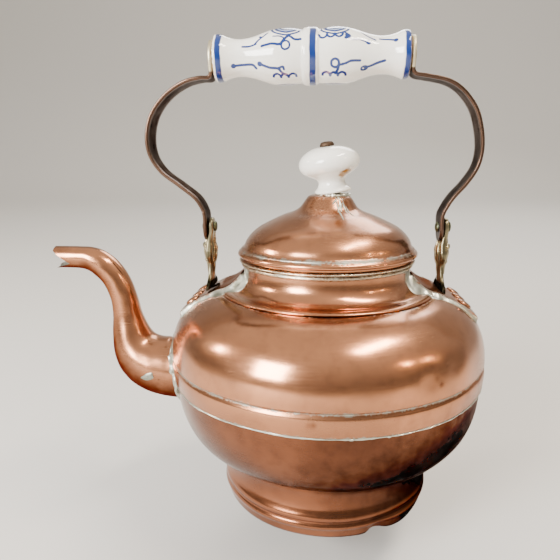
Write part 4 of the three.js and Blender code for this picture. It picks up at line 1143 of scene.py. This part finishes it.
SIDES = (("spout_side", -1), ("far_side", 1))
for label, side in SIDES:
    verts, faces = plate_points(side)
    y = np.abs(verts[:, 1])
    wear = np.stack(
        [0.5 * band(y, PLATE_HALF, 1.5), 0.35 + 0.3 * (verts[:, 2] > 136), np.zeros_like(y)], axis=1
    )
    piece(
        "lug_plate_" + label + "_copper", verts, faces, COPPER, "kettle", ["lug_plate_" + label],
        wear
    )
    for number, edge in ((1, -1), (2, 1)):
        seed = 80 + number + 3 * side
        verts, faces = solder_run(side, edge, seed)
        dull = 0.35 + waver(verts, 9, 0.3, seed)
        rubbed = 0.2 + waver(verts, 7, 0.3, seed + 2)
        wear = np.stack([np.zeros_like(dull), dull, rubbed], axis=1)
        piece(
            "plate_solder_" + label + "_" + str(number) + "_run", verts, faces, SOLDER, "kettle",
            ["plate_solder_" + label + "_" + str(number)], wear, sharp=60,
        )
    slope = math.atan2(plate_top(RIVET_X - 2) - plate_top(RIVET_X + 2), 4)
    blank = bpy.data.objects.new("rivet_row", bpy.data.meshes.new("rivet_row"))
    bpy.context.scene.collection.objects.link(blank)
    maker = blank.modifiers.new("rivets", "NODES")
    maker.node_group = rivet_tree
    maker[rivet_sockets["Count"]] = 3
    maker[rivet_sockets["Pitch"]] = RIVET_PITCH * MM
    maker[rivet_sockets["Radius"]] = RIVET_R * MM
    maker[rivet_sockets["Height"]] = RIVET_HIGH * MM
    bpy.context.view_layer.update()
    graph = bpy.context.evaluated_depsgraph_get()
    mesh = bpy.data.meshes.new_from_object(blank.evaluated_get(graph))
    bpy.data.objects.remove(blank)
    lean = Matrix.Rotation(side * slope, 4, "Y")
    seat = Matrix.Translation(
        (AXIS_X + side * RIVET_X * MM, -RIVET_PITCH * MM, (float(plate_top(RIVET_X)) + 0.1) * MM)
    )
    mesh.transform(seat @ lean)
    mesh.name = "plate_rivets_" + label + "_heads"
    row = bpy.data.objects.new(mesh.name, mesh)
    settle(row, COPPER, "kettle", ["plate_rivet_%s_%d" % (label, i) for i in (1, 2, 3)])

# ---- lugs ----------------------------------------------------------------------------------
# height, half width along Y, half thickness along X, how far its middle stands off, rib depth
LUG_SHAPE = [
    (134.2, 14.2, 1.7, 0.0, 0.0), (136.4, 13.6, 1.6, 0.0, 0.0), (138.6, 9.6, 1.6, 0.0, 0.1),
    (141.5, 6.2, 1.7, 0.0, 0.3),
    (146, 4.6, 1.8, 0.0, 0.5), (149, 4.4, 1.9, 0.0, 0.5), (151, 5.6, 2.6, 0.0, 0.55),
    (153.5, 7.6, 3.0, 0.0, 0.6),
    (157, 8.2, 3.3, 0.0, 0.65), (160.5, 7.0, 3.1, 0.0, 0.6), (163.5, 6.0, 2.5, 0.0, 0.45),
    (167, 5.6, 1.9, 0.0, 0.2),
    (172.5, 5.6, 1.7, 0.0, 0.0), (175.5, 4.9, 1.6, 0.0, 0.0), (177.3, 3.0, 1.3, 0.0, 0.0),
    (178.0, 0.9, 0.8, 0.0, 0.0),
]


def lug_points(side):
    """A cast lug: a splayed foot, a ribbed stem, a swollen ribbed leaf and a rounded eye."""
    rows = flowing(LUG_SHAPE, 5)
    sides = 48
    t = np.linspace(0, TAU, sides, endpoint=False)
    c, s = np.cos(t), np.sin(t)
    square = (np.abs(c) ** 4 + np.abs(s) ** 4) ** -0.25
    oval = np.ones_like(t)
    rings = []
    for z, wide, thick, off, rib in rows:
        mixing = min(1.0, rib / 0.5)
        around = square * (1 - mixing) + oval * mixing
        rings.append(
            np.stack(
                [
                    off + c * around * (thick + rib * np.cos(6 * t) * np.abs(c)),
                    s * around * wide * (1 + 0.06 * rib * np.cos(6 * t)),
                    np.full(sides, z),
                ],
                axis=1,
            )
        )
    verts = np.array(rings).reshape(-1, 3)
    n = len(rows)
    # The foot follows the plate it stands on.
    verts[:, 0] += LUG_X
    low = verts[:, 2] < 138
    seat = plate_top(verts[:, 0]) + 0.3
    share = np.clip((138 - verts[:, 2]) / (138 - 134.2), 0, 1)
    verts[:, 2] = np.where(low, verts[:, 2] + share * (seat - 134.2), verts[:, 2])
    faces = ring_faces(n, sides, False)
    faces.append(tuple(range(sides)))
    faces.append(tuple((n - 1) * sides + k for k in reversed(range(sides))))
    body = (verts, faces)
    # A scroll stands out of the leaf and a small one sits under the stem's swelling.
    t = np.linspace(-1, 1, 15)
    scroll = rope(
        np.stack([LUG_X + 2.2 + 1.0 * np.cos(t * 2.2), 4.0 * t, 158.6 + 2.0 * np.cos(t * 1.4)], axis=1),
        1.7 * np.sqrt(1 - (t * 0.96) ** 2) + 0.25, 14, seed=91, rough=0.05,
    )
    lower = rope(
        np.stack([np.full_like(t, LUG_X + 2.3), 3.2 * t, np.full_like(t, 151.2)], axis=1),
        1.3 * np.sqrt(1 - (t * 0.96) ** 2) + 0.2, 12, seed=92, rough=0.05,
    )
    rib_z = np.linspace(143, 169, 30)
    rib_off = np.interp(rib_z, rows[:, 0], rows[:, 2] + rows[:, 4] * 0.6)
    rib_r = 0.85 * np.sin(np.linspace(0.25, math.pi - 0.25, len(rib_z))) ** 0.5
    centre_rib = [
        rope(
            np.stack([LUG_X + way * rib_off, 0.25 * np.sin(rib_z), rib_z], axis=1),
            rib_r, 10, seed=93, rough=0.08,
        )
        for way in (-1, 1)
    ]
    z = np.linspace(150, 164, 22)
    spread = np.interp(z, [150, 157, 164], [0.6, 1.0, 0.55])
    vein_off = np.interp(z, rows[:, 0], rows[:, 2]) * 0.82
    vein_r = 0.7 * np.sin(np.linspace(0.3, math.pi - 0.3, len(z)))
    veins = [
        rope(np.stack([LUG_X + way * vein_off, y * spread, z], axis=1), vein_r, 8, seed=seed, rough=0.08)
        for y in (-3.6, 3.6)
        for way, seed in ((-1, 94), (1, 95))
    ]
    verts, faces = join(body, scroll, lower, *centre_rib, *veins)
    verts[:, 0] *= side
    # Both lugs lean a little to the left below their eyes.
    verts[:, 0] -= LUG_LEAN * np.clip((169 - verts[:, 2]) / 6, 0, 1)
    return verts, faces


for label, side in SIDES:
    verts, faces = lug_points(side)
    outward = (verts[:, 0] * side + LUG_LEAN * side - LUG_X) / 4
    front = np.clip(-verts[:, 1] / 10, 0, 1)
    wear = np.stack(
        [
            0.25 * band(verts[:, 2], 137, 3),
            0.5 - 0.5 * np.abs(outward) + 0.4 * (verts[:, 2] < 139),
            np.clip(0.3 + 0.6 * np.abs(outward) - 0.3 * front, 0, 1) * (verts[:, 2] > 140),
        ],
        axis=1,
    )
    piece("lug_" + label + "_brass", verts, faces, BRASS, "kettle", ["lug_" + label], wear, sharp=50)


# ---- bail ----------------------------------------------------------------------------------
def strap_line(side):
    """Middle line of a strap from below its pivot to the turned-up end, x and z."""
    half = GRIP_LEN / 2
    end = GRIP_X + side * (half + 0.8)
    reach = end + side * STRAP_THICK / 2
    x0 = side * LUG_X - EYE_HALF - STRAP_GAP - STRAP_THICK / 2
    if side < 0:
        middle = [
            (x0 - 1.2, 184), (x0 - 4.9, 190), (-90.6, 198.3), (-101.5, 206.8), (-107.6, 216.4),
            (-108.9, 227.5),
            (-105.8, 239.6), (-97.6, 250.4), (-85.5, 258.2), (-75.8, 260.6),
        ]
    else:
        middle = [
            (x0 + 1.6, 184), (x0 + 6, 191.2), (82, 199.3), (87.6, 208.6), (89.4, 218.5), (88, 230.8),
            (84.2, 242),
            (76.2, 252), (68.2, 256.8), (56, 259.6),
        ]
    low = [(x0, PIVOT_Z - 8.4), (x0, PIVOT_Z - 2), (x0, PIVOT_Z + 7.5)]
    turn = [(reach + side * 1.6, 260.9), (reach + side * 0.15, 262.8)]
    top = [(reach, 268), (reach, GRIP_Z + GRIP_PLATE_R)]
    return flowing(low + middle + turn + top, 16)


def strap_points(side):
    """The strap: a flat bar with softened edges, rounded at the pivot and at the grip."""
    line = strap_line(side)
    ahead = np.gradient(line, axis=0)
    ahead /= np.linalg.norm(ahead, axis=1, keepdims=True)
    normal = np.stack([-ahead[:, 1], ahead[:, 0]], axis=1)
    half = np.full(len(line), STRAP_WIDE / 2)
    z = line[:, 1]
    index = np.arange(len(line))
    near_low = index < 40
    drop = np.clip(PIVOT_Z - z, 0, 8.4)
    half = np.where(near_low, np.sqrt(np.clip(8.5**2 - drop**2, 0.4, None)), half)
    rise = np.clip(z - GRIP_Z, 0, GRIP_PLATE_R)
    top_part = index > len(line) - 40
    wide_top = STRAP_WIDE / 2 + (GRIP_PLATE_R - STRAP_WIDE / 2) * np.clip((z - 262) / 8, 0, 1)
    wide_top = np.minimum(wide_top, np.sqrt(np.clip(GRIP_PLATE_R**2 - rise**2, 0.4, None)))
    half = np.where(top_part, wide_top, half)
    half = half + 0.25 * np.sin(index * 0.11) * (~near_low) * (~top_part)
    section = [
        (-1, -0.55), (-0.97, -0.85), (-0.9, -1), (-0.6, -1), (-0.3, -1), (0, -1), (0.3, -1), (0.6, -1),
        (0.9, -1),
        (0.97, -0.85), (1, -0.55), (1, 0.55), (0.97, 0.85), (0.9, 1), (0.6, 1), (0.3, 1), (0, 1), (-0.3, 1),
        (-0.6, 1),
        (-0.9, 1), (-0.97, 0.85), (-1, 0.55),
    ]
    section = np.array(section)
    n, m = len(line), len(section)
    thin = STRAP_THICK / 2
    verts = np.zeros((n, m, 3))
    verts[:, :, 0] = line[:, :1] + normal[:, :1] * section[:, 1] * thin
    verts[:, :, 2] = line[:, 1:] + normal[:, 1:] * section[:, 1] * thin
    verts[:, :, 1] = half[:, None] * section[:, 0]
    flat = verts.reshape(-1, 3)
    flat[:, 0] += waver(flat, 38, 0.18, 110 + side) * (np.abs(flat[:, 2] - PIVOT_Z) > 14)
    faces = ring_faces(n, m, False)
    faces.append(tuple(range(m)))
    faces.append(tuple((n - 1) * m + k for k in reversed(range(m))))
    edge = np.tile(np.abs(section[:, 0]) > 0.85, n)
    outer_face = np.tile(section[:, 1], n) * side
    end_plate = np.repeat(np.clip((z - 262.5) / 3, 0, 1) * top_part, m)
    low_end = np.repeat((index < 24) * 1.0, m)
    wear = np.stack(
        [
            0.85 * end_plate,
            np.where(edge, 0.1, 0.52) * (1 - 0.7 * end_plate) * (1 - 0.3 * low_end),
            np.where(edge, 0.4, 0.04 + 0.06 * np.clip(outer_face, 0, 1)) * (1 - end_plate),
        ],
        axis=1,
    )
    return flat, faces, wear


for label, side in SIDES:
    verts, faces, wear = strap_points(side)
    piece(
        "bail_strap_" + label + "_copper", verts, faces, STRAP_COPPER, "bail",
        ["bail_strap_" + label], wear, sharp=50
    )
    # Pivot rivet: a shank with two struck heads, worn low.
    strap_face = EYE_HALF + 2 * STRAP_GAP + STRAP_THICK
    loop = np.vstack(
        [
            flowing(
                [
                    (0, -strap_face - 1.5), (1.7, -strap_face - 1.35), (2.8, -strap_face - 0.8),
                    (3.3, -strap_face - 0.05)
                ],
                5
            ),
            [(2.4, -strap_face), (2.4, 2.1)],
            flowing([(3.3, 2.15), (2.8, 2.8), (1.7, 3.2), (0, 3.3)], 5),
        ]
    )
    verts, faces = turned(loop, 36)
    verts = np.stack([verts[:, 2] + side * LUG_X, verts[:, 1], verts[:, 0] + PIVOT_Z], axis=1)
    wear = np.full((len(verts), 3), (0.5, 0.5, 0.0))
    piece(
        "pivot_rivet_" + label + "_brass", verts, faces, BRASS, "bail", ["pivot_rivet_" + label],
        wear
    )

# ---- grip ----------------------------------------------------------------------------------
half = GRIP_LEN / 2
half_outline = [
    (half - 0.05, GRIP_R - 3.6), (half - 0.35, GRIP_R - 2.9), (half - 1.2, GRIP_R - 2.55),
    (half - 3.8, GRIP_R - 2.65),
    (half - 7.5, GRIP_R - 4.1), (half - 11, GRIP_R - 5.1), (half - 15, GRIP_R - 5.5),
    (half - 19, GRIP_R - 5.2),
    (half - 24, GRIP_R - 4.1), (half - 31, GRIP_R - 1.8), (half - 36, GRIP_R - 0.6),
    (half - 41, GRIP_R - 0.1),
    (half - 46, GRIP_R - 0.35), (half - 50.2, GRIP_R - 1.05), (half - 51.6, GRIP_R - 1.15),
    (half - 52.6, GRIP_R - 0.35),
    (half - 54.2, GRIP_R),
]
outline = half_outline + [(0, GRIP_R + 0.02)] + [(-u, r) for u, r in reversed(half_outline)]
grip_curve = flowing(outline, 7)
GRIP_SIDES = 190
u_along = grip_curve[:, 0]
# Even steps of half a millimetre, so that the painted lines have clean edges.
lengths = np.concatenate([[0], np.cumsum(np.hypot(*np.diff(grip_curve, axis=0).T))])
even = np.linspace(0, lengths[-1], 262)
u_along = np.interp(even, lengths, grip_curve[:, 0])
r_along = np.interp(even, lengths, grip_curve[:, 1])
BORE = 3.2
u_all = np.concatenate([u_along, [-half, -half], [half, half]])
r_all = np.concatenate([r_along, [GRIP_R - 4.6, BORE], [BORE, GRIP_R - 4.6]])
theta = np.linspace(0, TAU, GRIP_SIDES, endpoint=False)
verts = np.stack(
    [
        np.repeat(u_all[:, None], GRIP_SIDES, axis=1) + GRIP_X,
        -np.cos(theta) * r_all[:, None],
        np.sin(theta) * r_all[:, None] + GRIP_Z,
    ],
    axis=-1,
).reshape(-1, 3)
faces = ring_faces(len(u_all), GRIP_SIDES, True)


MEDALLION_U = 13.9  # flower heads from the middle of the grip
MEDALLION_V = 71.0  # degrees up from the front
BRUSH = 1.5  # how much fatter the brush is than the finest line


def painted_grip():
    """Blue painting on the grip. `u` runs along it and `v` is the angle up from the front, so a
    stroke is a short smooth line in (u, degrees)."""
    u = np.repeat(u_all, GRIP_SIDES)
    v = np.degrees(np.tile(theta, len(u_all)))
    radius = np.repeat(r_all, GRIP_SIDES)
    line = np.zeros(len(u))
    wash = np.zeros(len(u))
    outside = np.arange(len(u)) < len(u_along) * GRIP_SIDES
    ragged = 0.25 * np.sin(np.radians(v) * 5) + 0.15 * np.sin(np.radians(v) * 13)
    for place, wide in ((-half + 3.4, 1.6), (half - 1.9, 1.5), (1.3, 1.75)):
        line = np.maximum(line, np.clip(1.4 - np.abs(u - place + ragged * 0.4) / wide, 0, 1))

    def stroke(points, wide, strength=1.0, soft=0.5):
        nonlocal line
        wide = wide * BRUSH
        path = flowing(points, 7)
        for (u0, v0), (u1, v1) in zip(path[:-1], path[1:]):
            near = (np.abs(u - (u0 + u1) / 2) < 5) & outside
            turn = (v[near] - v0 + 180) % 360 - 180
            a = np.stack([u[near] - u0, np.radians(turn) * radius[near]], axis=1)
            b = np.array([u1 - u0, math.radians(v1 - v0) * 14.0])
            t = np.clip((a @ b) / max(b @ b, 1e-9), 0, 1)
            far = np.linalg.norm(a - t[:, None] * b, axis=1)
            line[near] = np.maximum(line[near], strength * np.clip((wide - far) / soft + 0.5, 0, 1))

    def dot(u0, v0, r, strength=1.0):
        stroke([(u0 - 0.05, v0), (u0 + 0.05, v0)], r, strength)

    def loop(u0, v0, ru, rv, wide, strength=1.0, tilt=0.0):
        around = np.linspace(0, TAU, 9)
        pts = [
            (
                u0 + ru * math.cos(a) * math.cos(tilt) - rv * math.sin(a) * math.sin(tilt),
                v0 + (ru * math.cos(a) * math.sin(tilt) + rv * math.sin(a) * math.cos(tilt)) * 4,
            )
            for a in around
        ]
        stroke(pts, wide, strength)

    def scallops(u0, v0, count, wide, down=1):
        for i in range(count):
            c = u0 + (i - (count - 1) / 2) * 4.4
            arch = [
                (c - 2.2 * math.cos(a), v0 - down * 9 * math.sin(a)) for a in (0, 0.7, 1.57, 2.44, math.pi)
            ]
            stroke(arch, wide)

    for turn_by in (0, 180):
        # A ringed flower head on top of each swelling, turned a little forwards.
        for u0 in (-MEDALLION_U, MEDALLION_U):
            v0 = MEDALLION_V + turn_by
            for ring, strength, wide in ((8.3, 0.85, 0.4), (6.0, 1.0, 0.5), (3.6, 0.9, 0.4)):
                loop(u0, v0, ring, ring * 0.97, wide, strength)
            turned_by = np.radians((v - v0 + 180) % 360 - 180) * radius
            inside = np.hypot(u - u0, turned_by)
            wash = np.maximum(wash, outside * np.clip(1 - np.abs(inside - 4.8) / 1.6, 0, 1) * 0.8)
            wash = np.maximum(wash, outside * (inside < 2.4) * 0.7)
        if turn_by == 0:
            scallops(11.5, 40, 3, 0.4)
        else:
            scallops(-19.5, turn_by - 52, 3, 0.4, -1)
        b = turn_by
        # Sprigs with curled leaves.
        stroke([(-39, b + 26), (-35, b + 24), (-31, b + 27)], 0.4, 0.75)
        stroke([(-31.5, b + 28), (-29.5, b + 38), (-26.5, b + 47), (-24.5, b + 55)], 0.42, 0.8)
        stroke([(-28, b + 44), (-29, b + 50)], 0.4, 0.8)
        stroke(
            [
                (-27.5, b + 18), (-22, b + 20), (-17.5, b + 17), (-15, b + 26), (-12, b + 36),
                (-8.5, b + 28), (-5.5, b + 30)
            ],
            0.45
        )
        loop(-13.8, b + 15, 2.4, 2.2, 0.35, 0.8, 0.7)
        stroke([(-21, b + 38), (-17.5, b + 36), (-14.5, b + 30)], 0.35, 0.6)
        stroke([(-44, b - 32), (-38, b - 29), (-33.5, b - 27), (-31, b - 36)], 0.45, 0.95)
        dot(-44.4, b - 32, 0.9)
        stroke([(-28.5, b - 24), (-23, b - 30), (-18.5, b - 31), (-16, b - 40), (-12.5, b - 48)], 0.45, 0.95)
        dot(-28.8, b - 23.5, 0.9)
        stroke([(-18.5, b - 31), (-15.5, b - 27), (-14.8, b - 33)], 0.4, 0.9)
        scallops(-14.5, b - 52, 3, 0.4, -1)
        stroke([(19, b + 44), (22, b + 34), (19.5, b + 29), (23, b + 27), (27.5, b + 30), (32, b + 27)], 0.42)
        dot(32.4, b + 26.6, 0.95)
        stroke([(22, b + 34), (19.8, b + 36)], 0.4)
        stroke([(28, b + 60), (32, b + 48), (36.5, b + 38)], 0.38, 0.6)
        stroke([(39, b + 44), (43.5, b + 41), (47.5, b + 34)], 0.4, 0.8)
        dot(47.8, b + 33.6, 0.8, 0.8)
        loop(14.0, b - 22, 2.2, 2.1, 0.4)
        stroke([(16.5, b - 26), (20, b - 23), (23, b - 19), (28, b - 20)], 0.42, 0.9)
        stroke([(16.2, b - 26), (15.4, b - 36), (14.2, b - 44)], 0.45)
        scallops(13.5, b - 50, 3, 0.42, -1)
        stroke([(31, b - 40), (34, b - 38), (38, b - 31), (42, b - 25)], 0.45)
        loop(30.5, b - 41, 1.7, 1.3, 0.38, 0.85)
    inner_edge = (np.abs(u) > half - 1.2) * 0.3
    dirt = 0.35 * band(np.abs(u), half - 0.3, 0.8) + 0.28 * band(np.abs(u), 5.4, 1.2) + inner_edge
    return np.stack([line * outside, dirt, wash * outside], axis=1)


piece("grip_porcelain", verts, faces, PAINTED, "bail", ["grip"], painted_grip())

# ---- lid -----------------------------------------------------------------------------------
DOME = [
    (0.955, 0.01), (0.935, 0.03), (0.915, 0.07), (0.885, 0.16), (0.82, 0.275), (0.71, 0.398), (0.55, 0.512),
    (0.35, 0.63), (0.2, 0.7), (0.12, 0.77), (0.07, 0.86), (0.035, 0.93), (0.0, 0.98), (-0.04, 0.998),
]
span = LID_R - LID_TOP_R
rise = LID_TOP - RIM_TOP
rim = [
    (LID_R - 2.6, RIM_LOW), (LID_R - 1.1, RIM_LOW), (LID_R - 0.1, RIM_LOW + 0.6),
    (LID_R + 0.1, RIM_LOW + 1.5),
    (LID_R - 0.3, RIM_LOW + 2.5), (LID_R - 1.1, RIM_LOW + 3.3), (LID_R - 1.7, RIM_LOW + 3.8),
]
lid_out = flowing(
    rim + [(LID_TOP_R + a * span, RIM_TOP + b * rise) for a, b in DOME] + [(9, LID_TOP), (6.6, LID_TOP)], 6
)
lid_in = flowing(
    [(6.6, LID_TOP - SHEET), (9, LID_TOP - SHEET), (LID_TOP_R - 0.9, LID_TOP - 2.6)]
    + [(LID_TOP_R + a * span - SHEET, RIM_TOP + b * rise - 0.9) for a, b in DOME[::-1][3:-2]]
    + [(LID_R - 4.2, RIM_LOW + 2.6), (LID_R - 4.2, RIM_LOW + 0.1)],
    5,
)
verts, faces = turned(np.vstack([lid_out, lid_in]), 220)
verts = from_centre(verts, (0, 0, 130), waver(verts, 44, 0.22, 130) + waver(verts, 17, 0.05, 131))
r = np.hypot(verts[:, 0], verts[:, 1])
worn_side = np.clip(-verts[:, 1] / LID_R, 0, 1)
wear = np.stack(
    [
        0.58 * band(verts[:, 2], RIM_TOP + 0.2, 1.5) * (0.35 + 0.65 * worn_side)
        + 0.3 * band(r, 12, 4) * (verts[:, 1] < 2) * (verts[:, 0] > -4),
        0.3 * band(
            verts[:, 2], RIM_TOP + 0.8, 1.4
        ) + 0.6 * (verts[:, 2] < RIM_LOW + 0.4) + 0.2 * band(verts[:, 2], LID_TOP, 3),
        0.5 * band(verts[:, 2], RIM_LOW + 2, 1.4),
    ],
    axis=1,
)
verts[:, 0] += LID_SHIFT + LID_LEAN * np.clip((verts[:, 2] - RIM_TOP) / (LID_TOP - RIM_TOP), 0, 1)
piece("lid_dome_copper", verts, faces, COPPER, "lid", ["lid_dome"], wear)

sleeve_r = NECK_R - SHEET - 1.6
sleeve_low = BEAD_TOP + 0.3 - 12
sleeve_loop = [
    (sleeve_r - 1, sleeve_low + 0.3), (sleeve_r - 0.5, sleeve_low), (sleeve_r, sleeve_low + 0.3),
    (sleeve_r, BEAD_TOP + 0.3),
    (LID_R - 2.9, BEAD_TOP + 0.3), (LID_R - 2.6, BEAD_TOP + 0.7), (LID_R - 2.6, BEAD_TOP + 1.6),
    (LID_R - 2.9, BEAD_TOP + 1.9),
    (sleeve_r - 1, BEAD_TOP + 1.9),
]
verts, faces = turned(sleeve_loop, 200)
verts[:, 0] += LID_SHIFT
wear = np.stack(
    [0.8 * (verts[:, 2] < BEAD_TOP), np.full(len(verts), 0.5), 0.6 * (verts[:, 2] > BEAD_TOP)], axis=1
)
piece("lid_sleeve_copper", verts, faces, COPPER, "lid", ["lid_sleeve"], wear)

# Knob and bolt lean together.
lean_c, lean_s = math.cos(-KNOB_LEAN), math.sin(-KNOB_LEAN)


def leaning(points):
    """From the knob's own axes to the body's."""
    x = points[:, 0] * lean_c + points[:, 2] * lean_s
    z = -points[:, 0] * lean_s + points[:, 2] * lean_c
    return np.stack([x + KNOB_AT[0], points[:, 1], z + KNOB_AT[2]], axis=1)


knob_out = flowing(
    [
        (2.6, 0.2), (6, 0.0), (10.2, 0.05), (11.0, 0.5), (11.2, 1.3), (10.5, 2.3), (9.1, 3.7), (8.3, 5.2),
        (8.15, 6.6),
        (8.9, 8.1), (10.8, 9.5), (13.6, 10.9), (16.6, 12.9), (18.3, 15.4), (KNOB_R, 18.0), (18.2, 20.8),
        (16.2, 23.4),
        (12.8, 25.6), (8.6, 27.0), (5, 27.5), (2.6, KNOB_H),
    ],
    6,
)
verts, faces = turned(knob_out, 128)
own = verts.copy()
verts = from_centre(verts, (0, 0, 15), waver(verts, 24, 0.22, 140))
right_low = np.array([8.5, -9.5, 10.5])
stains = bump_at(own, right_low, 4.6, 0.95) + bump_at(own, (7.5, -11.5, 13.5), 3.6, 0.7)
stains = stains + bump_at(own, (6, -15.5, 20), 1.9, 0.9) + bump_at(own, (5.4, -15.8, 17.4), 1.6, 0.8)
stains = stains + bump_at(own, (-8, -10, 10.5), 3.5, 0.3) + 0.3 * band(own[:, 2], 0.4, 0.7)
wear = np.stack([np.zeros_like(stains), stains, np.zeros_like(stains)], axis=1)
piece("knob_porcelain", leaning(verts), faces, PORCELAIN, "lid", ["knob"], wear)

bolt_loop = np.vstack(
    [
        [(0, -9.4), (2, -9.4), (2, KNOB_H + 0.2)],
        flowing(
            [
                (4.1, KNOB_H + 0.15), (4.4, KNOB_H + 0.6), (4.3, KNOB_H + 1.5), (3.6, KNOB_H + 2.5),
                (2, KNOB_H + 3.0), (0, KNOB_H + 3.1)
            ],
            4
        ),
    ]
)
verts, faces = turned(bolt_loop, 40)
slot_cut = (np.abs(verts[:, 1]) < 0.8) & (verts[:, 2] > KNOB_H + 1.4)
verts[:, 2] -= slot_cut * 0.8
piece("knob_bolt_iron", leaning(verts), faces, IRON, "lid", ["knob_bolt"])

# Bedding of old solder squeezed out under the knob, with runs down the dome.
t = np.linspace(0, TAU, 90, endpoint=False)
bed_r = 9.7 + 0.3 * np.sin(4 * t) + 0.2 * np.sin(9 * t + 1)
bed = rope(
    np.stack(
        [bed_r * np.cos(t) + 3.2, bed_r * np.sin(t), LID_TOP + 0.35 + 0.1 * np.sin(5 * t) - 0.25 * np.cos(t)],
        axis=1
    ),
    0.85 + 0.25 * np.sin(7 * t), 10, closed=True, seed=150, rough=0.25,
)


def on_lid(x, y, lift):
    """A point on the lid's outside."""
    r = math.hypot(x, y)
    order = np.argsort(lid_out[20:, 0])
    return (x, y, float(np.interp(r, lid_out[20:, 0][order], lid_out[20:, 1][order])) + lift)


runs = []
for x0, y0, x1, y1, wide in (
    (6.0, -10.5, 8.5, -17.5, 1.2), (7.5, -10.0, 13.5, -19.0, 0.7), (8.5, -9.5, 18.5, -22.0, 0.5),
    (5.0, -11.0, 9.0, -27.0, 0.55), (6.8, -10.2, 3.4, -15.5, 1.0), (9.0, -12.0, 6.0, -19.0, 0.8),
):
    s = np.linspace(0, 1, 16)
    path = [on_lid(x0 + (x1 - x0) * a + 0.5 * math.sin(4 * a + x0), y0 + (y1 - y0) * a, 0.0) for a in s]
    runs.append(rope(path, wide * np.sin(0.3 + s * 2.75) * 0.9 + 0.05, 10, seed=160, rough=0.3, flat=0.6))
verts, faces = join(bed, *runs)
verts[:, 0] += LID_SHIFT
piece(
    "knob_bedding_solder", verts, faces, SOLDER, "lid", ["knob_bedding"],
    np.full((len(verts), 3), (0.1, 0.3, 0.3))
)

# ---- small pieces whose solids are already right ------------------------------------------------
for name in ("knob_washer", "knob_nut", "grip_rod"):
    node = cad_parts[name]
    node.data.materials.clear()
    node.data.materials.append(IRON)

# ---- floor, light and camera ---------------------------------------------------------------
floor_mesh = bpy.data.meshes.new("studio_floor")
wide = 6.0
run = flowing([(-wide, 0.0), (1.6, 0.0), (2.4, 0.12), (2.9, 0.7), (3.0, 1.6), (3.0, 4.0)], 10)
floor_verts = [(x, y, z) for y, z in run for x in (-wide, wide)]
floor_faces = [(2 * i, 2 * i + 1, 2 * i + 3, 2 * i + 2) for i in range(len(run) - 1)]
floor_mesh.from_pydata(floor_verts, [], floor_faces)
floor_mesh.shade_smooth()
floor = bpy.data.objects.new("studio_floor", floor_mesh)
bpy.context.scene.collection.objects.link(floor)
pale, tree, bsdf, at = new_material("pale_paper_sweep", **{"Roughness": 0.75})
bsdf.inputs["Base Color"].default_value = colour("#d6d3ce")
floor_mesh.materials.append(pale)

# The room is bright overhead and dim low down.
world = bpy.data.worlds.new("studio")
world.use_nodes = True
tree = world.node_tree
sky = add(tree, "ShaderNodeTexCoord").outputs["Generated"]
height = add(tree, "ShaderNodeSeparateXYZ", {0: sky})
level_of = add(tree, "ShaderNodeMapRange", {0: height.outputs[2], 1: 0.15, 2: 0.85, 3: 0.42, 4: 1.35})
background = tree.nodes["Background"]
background.inputs[0].default_value = colour("#e9e2d8")
tree.links.new(level_of.outputs[0], background.inputs[1])
bpy.context.scene.world = world


def softbox(name, azimuth, elevation, distance, width, height, watts, tint="#ffffff", aim=(0, 0, 0.11)):
    """A soft rectangular light that faces the kettle. Azimuth 0 is in front, positive to the right."""
    a, e = math.radians(azimuth), math.radians(elevation)
    way = np.array([math.sin(a) * math.cos(e), -math.cos(a) * math.cos(e), math.sin(e)])
    data = bpy.data.lights.new(name, "AREA")
    data.shape = "RECTANGLE"
    data.size = width
    data.size_y = height
    data.energy = watts
    data.color = colour(tint)[:3]
    light = bpy.data.objects.new(name, data)
    bpy.context.scene.collection.objects.link(light)
    spot = np.array(aim) + np.array([AXIS_X, 0, 0]) + way * distance
    backward = way
    right = np.cross((0, 0, 1), backward)
    right /= np.linalg.norm(right)
    up = np.cross(backward, right)
    turn = Matrix([[right[i], up[i], backward[i]] for i in range(3)]).to_4x4()
    light.matrix_world = Matrix.Translation(spot.tolist()) @ turn
    return light


softbox("window", -38, 21.5, 1.5, 0.5, 0.66, 46)
softbox("overhead", 66, 63, 1.5, 0.8, 0.16, 22, "#fff2e0")
softbox("side_window", -85, 26, 1.6, 0.2, 0.2, 9, "#fff4e4")
softbox("lamp_right", 62, 27, 1.6, 0.07, 0.05, 1.6, "#ffd9a0")
softbox("lamp_far_right", 78, 22, 1.6, 0.05, 0.05, 1.2, "#ffd9a0")
softbox("back_fill", 165, 40, 2.2, 1.2, 0.8, 20)

# The camera stands straight in front of the body, turned a little to the left and down.
CAMERA_AT = (AXIS_X, -0.34165, 0.2156)
LENS = 35.21
YAW = math.radians(-4.912)
PITCH = math.radians(12.768)
ROLL = math.radians(-0.408)
camera_data = bpy.data.cameras.new("camera")
camera = bpy.data.objects.new("camera", camera_data)
bpy.context.scene.collection.objects.link(camera)
camera_data.sensor_width = 36.0
camera_data.lens = LENS
camera_data.clip_start = 0.01
camera_data.clip_end = 30
ahead = np.array([math.sin(YAW) * math.cos(PITCH), math.cos(YAW) * math.cos(PITCH), -math.sin(PITCH)])
level = np.array([math.cos(YAW), -math.sin(YAW), 0.0])
upward = np.cross(level, ahead)
right_way = math.cos(ROLL) * level + math.sin(ROLL) * upward
up_way = -math.sin(ROLL) * level + math.cos(ROLL) * upward
turn = Matrix([[right_way[i], up_way[i], -ahead[i]] for i in range(3)]).to_4x4()
camera.matrix_world = Matrix.Translation(CAMERA_AT) @ turn
bpy.context.scene.camera = camera
